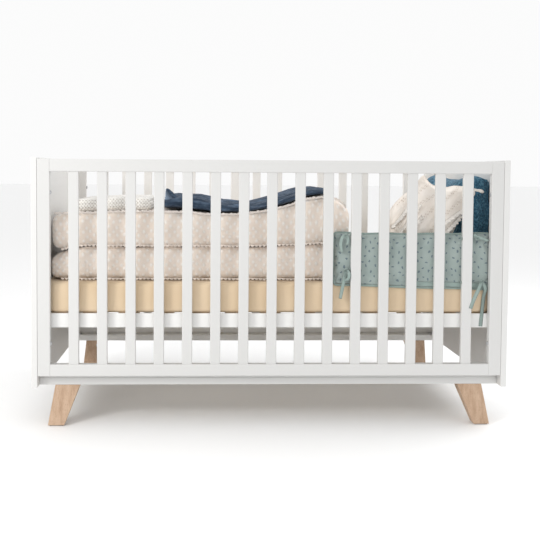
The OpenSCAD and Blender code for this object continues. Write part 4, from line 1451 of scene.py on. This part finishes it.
def tail(controls, turns):
    """Hanging strap through control points, which twists by turns along its length."""
    path = smooth_path(controls, 2.5 * MM)
    way = directions(path)
    first = np.cross(way, np.array([0.0, 1.0, 0.0]))
    first /= np.maximum(np.linalg.norm(first, axis=1, keepdims=True), 1e-6)
    second = np.cross(way, first)
    angle = np.linspace(0, turns * 2 * math.pi, len(path))[:, None]
    return ribbon(path, first * np.cos(angle) + second * np.sin(angle), TIE_W * 1.25, 1.3 * MM)


def knot(at, size):
    """Overhand knot: two short strap turns wound across each other."""
    x, y, z = at
    parts = []
    for tilt, scale in ((0.5, 1.0), (-0.7, 0.82)):
        points = []
        for angle in np.linspace(0, 2 * math.pi, 33):
            px, pz = size * 0.62 * scale * math.cos(angle), size * 0.5 * scale * math.sin(angle)
            points.append((x + px * math.cos(tilt) - pz * math.sin(tilt),
                           y + size * 0.25 * math.sin(angle + 0.8) * scale,
                           z + px * math.sin(tilt) + pz * math.cos(tilt)))
        path, _ = resample(points, 1.6 * MM)
        across = unit(np.tile([0.25, 0.9, 0.35], (len(path), 1)))
        parts.append(ribbon(path, across, size * 0.7, 1.4 * MM))
    return parts


def make_ties():
    """Four ties: each passes behind a slat, is knotted beside it and hangs in one or two tails."""
    hem, top = BED_TOP + 40 * MM, bumper_box.z1 - 22 * MM
    front = slat_box.y0 - 2.5 * MM
    behind = slat_box.y1 - 2 * MM
    left, right = slat_place(SLAT_COUNT - 5), slat_place(SLAT_COUNT - 1)
    half = slat_width() / 2
    parts = []
    spots = [
        (SLAT_COUNT - 5, left - half - 14 * MM, hem, -3 * MM,
         [[(0, 0, 0), (-3, 2, -18), (-9, 4, -48), (-17, 3, -88)],
          [(0, 0, 0), (8, -3, -9), (6, -5, -24), (-3, -3, -27), (-4, -1, -12), (0, 0, -1)]]),
        (SLAT_COUNT - 5, left - half - 16 * MM, top + 18 * MM, -4 * MM,
         [[(0, 0, 0), (-10, 2, -6), (-15, 3, -26), (-12, 3, -52)], [(0, 0, 0), (6, -2, -12), (2, -3, -30)]]),
        (SLAT_COUNT - 1, right + half + 31 * MM, BED_TOP + 6 * MM, 2 * MM,
         [[(0, 0, 0), (-8, -2, -20), (-26, -7, -56), (-36, -10, -82)],
          [(0, 0, 0), (12, 3, -18), (14, 7, -32), (13, 17, -54), (5, 17, -142)]]),
        (SLAT_COUNT - 1, right + half + 15 * MM, top + 12 * MM, 3 * MM,
         [[(-12, 0, 10), (0, 0, 2), (18, 1, -3), (36, 2, -10)]]),
    ]
    for index, x, z, tilt, tails in spots:
        parts.append(strap_behind_slat(index, z, tilt))
        y = (front + behind) / 2
        parts += knot((x, y, z), 10 * MM)
        for number, points in enumerate(tails):
            moved = [(x + a * MM, y + b * MM, z + c * MM) for a, b, c in points]
            hangs_low = points[-1][2] < -100
            parts.append(tail(moved, 0 if hangs_low else 0.12 + 0.1 * number))
    whole = join("bumper_tie_straps", parts)
    finish_piece(whole, "base", ["bumper_ties"])


def join(name, parts):
    """One object of several, which it takes the place of."""
    made = bmesh.new()
    for part in parts:
        made.from_mesh(part.data)
    mesh = bpy.data.meshes.new(name)
    made.to_mesh(mesh)
    made.free()
    mesh.materials.append(parts[0].data.materials[0])
    mesh.polygons.foreach_set("use_smooth", [True] * len(mesh.polygons))
    for part in parts:
        old = part.data
        bpy.data.objects.remove(part)
        bpy.data.meshes.remove(old)
    whole = bpy.data.objects.new(name, mesh)
    bpy.context.scene.collection.objects.link(whole)
    return whole


make_mattress()
make_quilts()
make_quilt_lace()
make_knit()
make_muslin()
pillow_body, pillow_edge = make_pillow()
make_pillow_lace(pillow_body)
make_corner_knot(pillow_edge)
make_fleece_cushion()
make_binding(make_bumper())
make_hem_band()
make_ties()
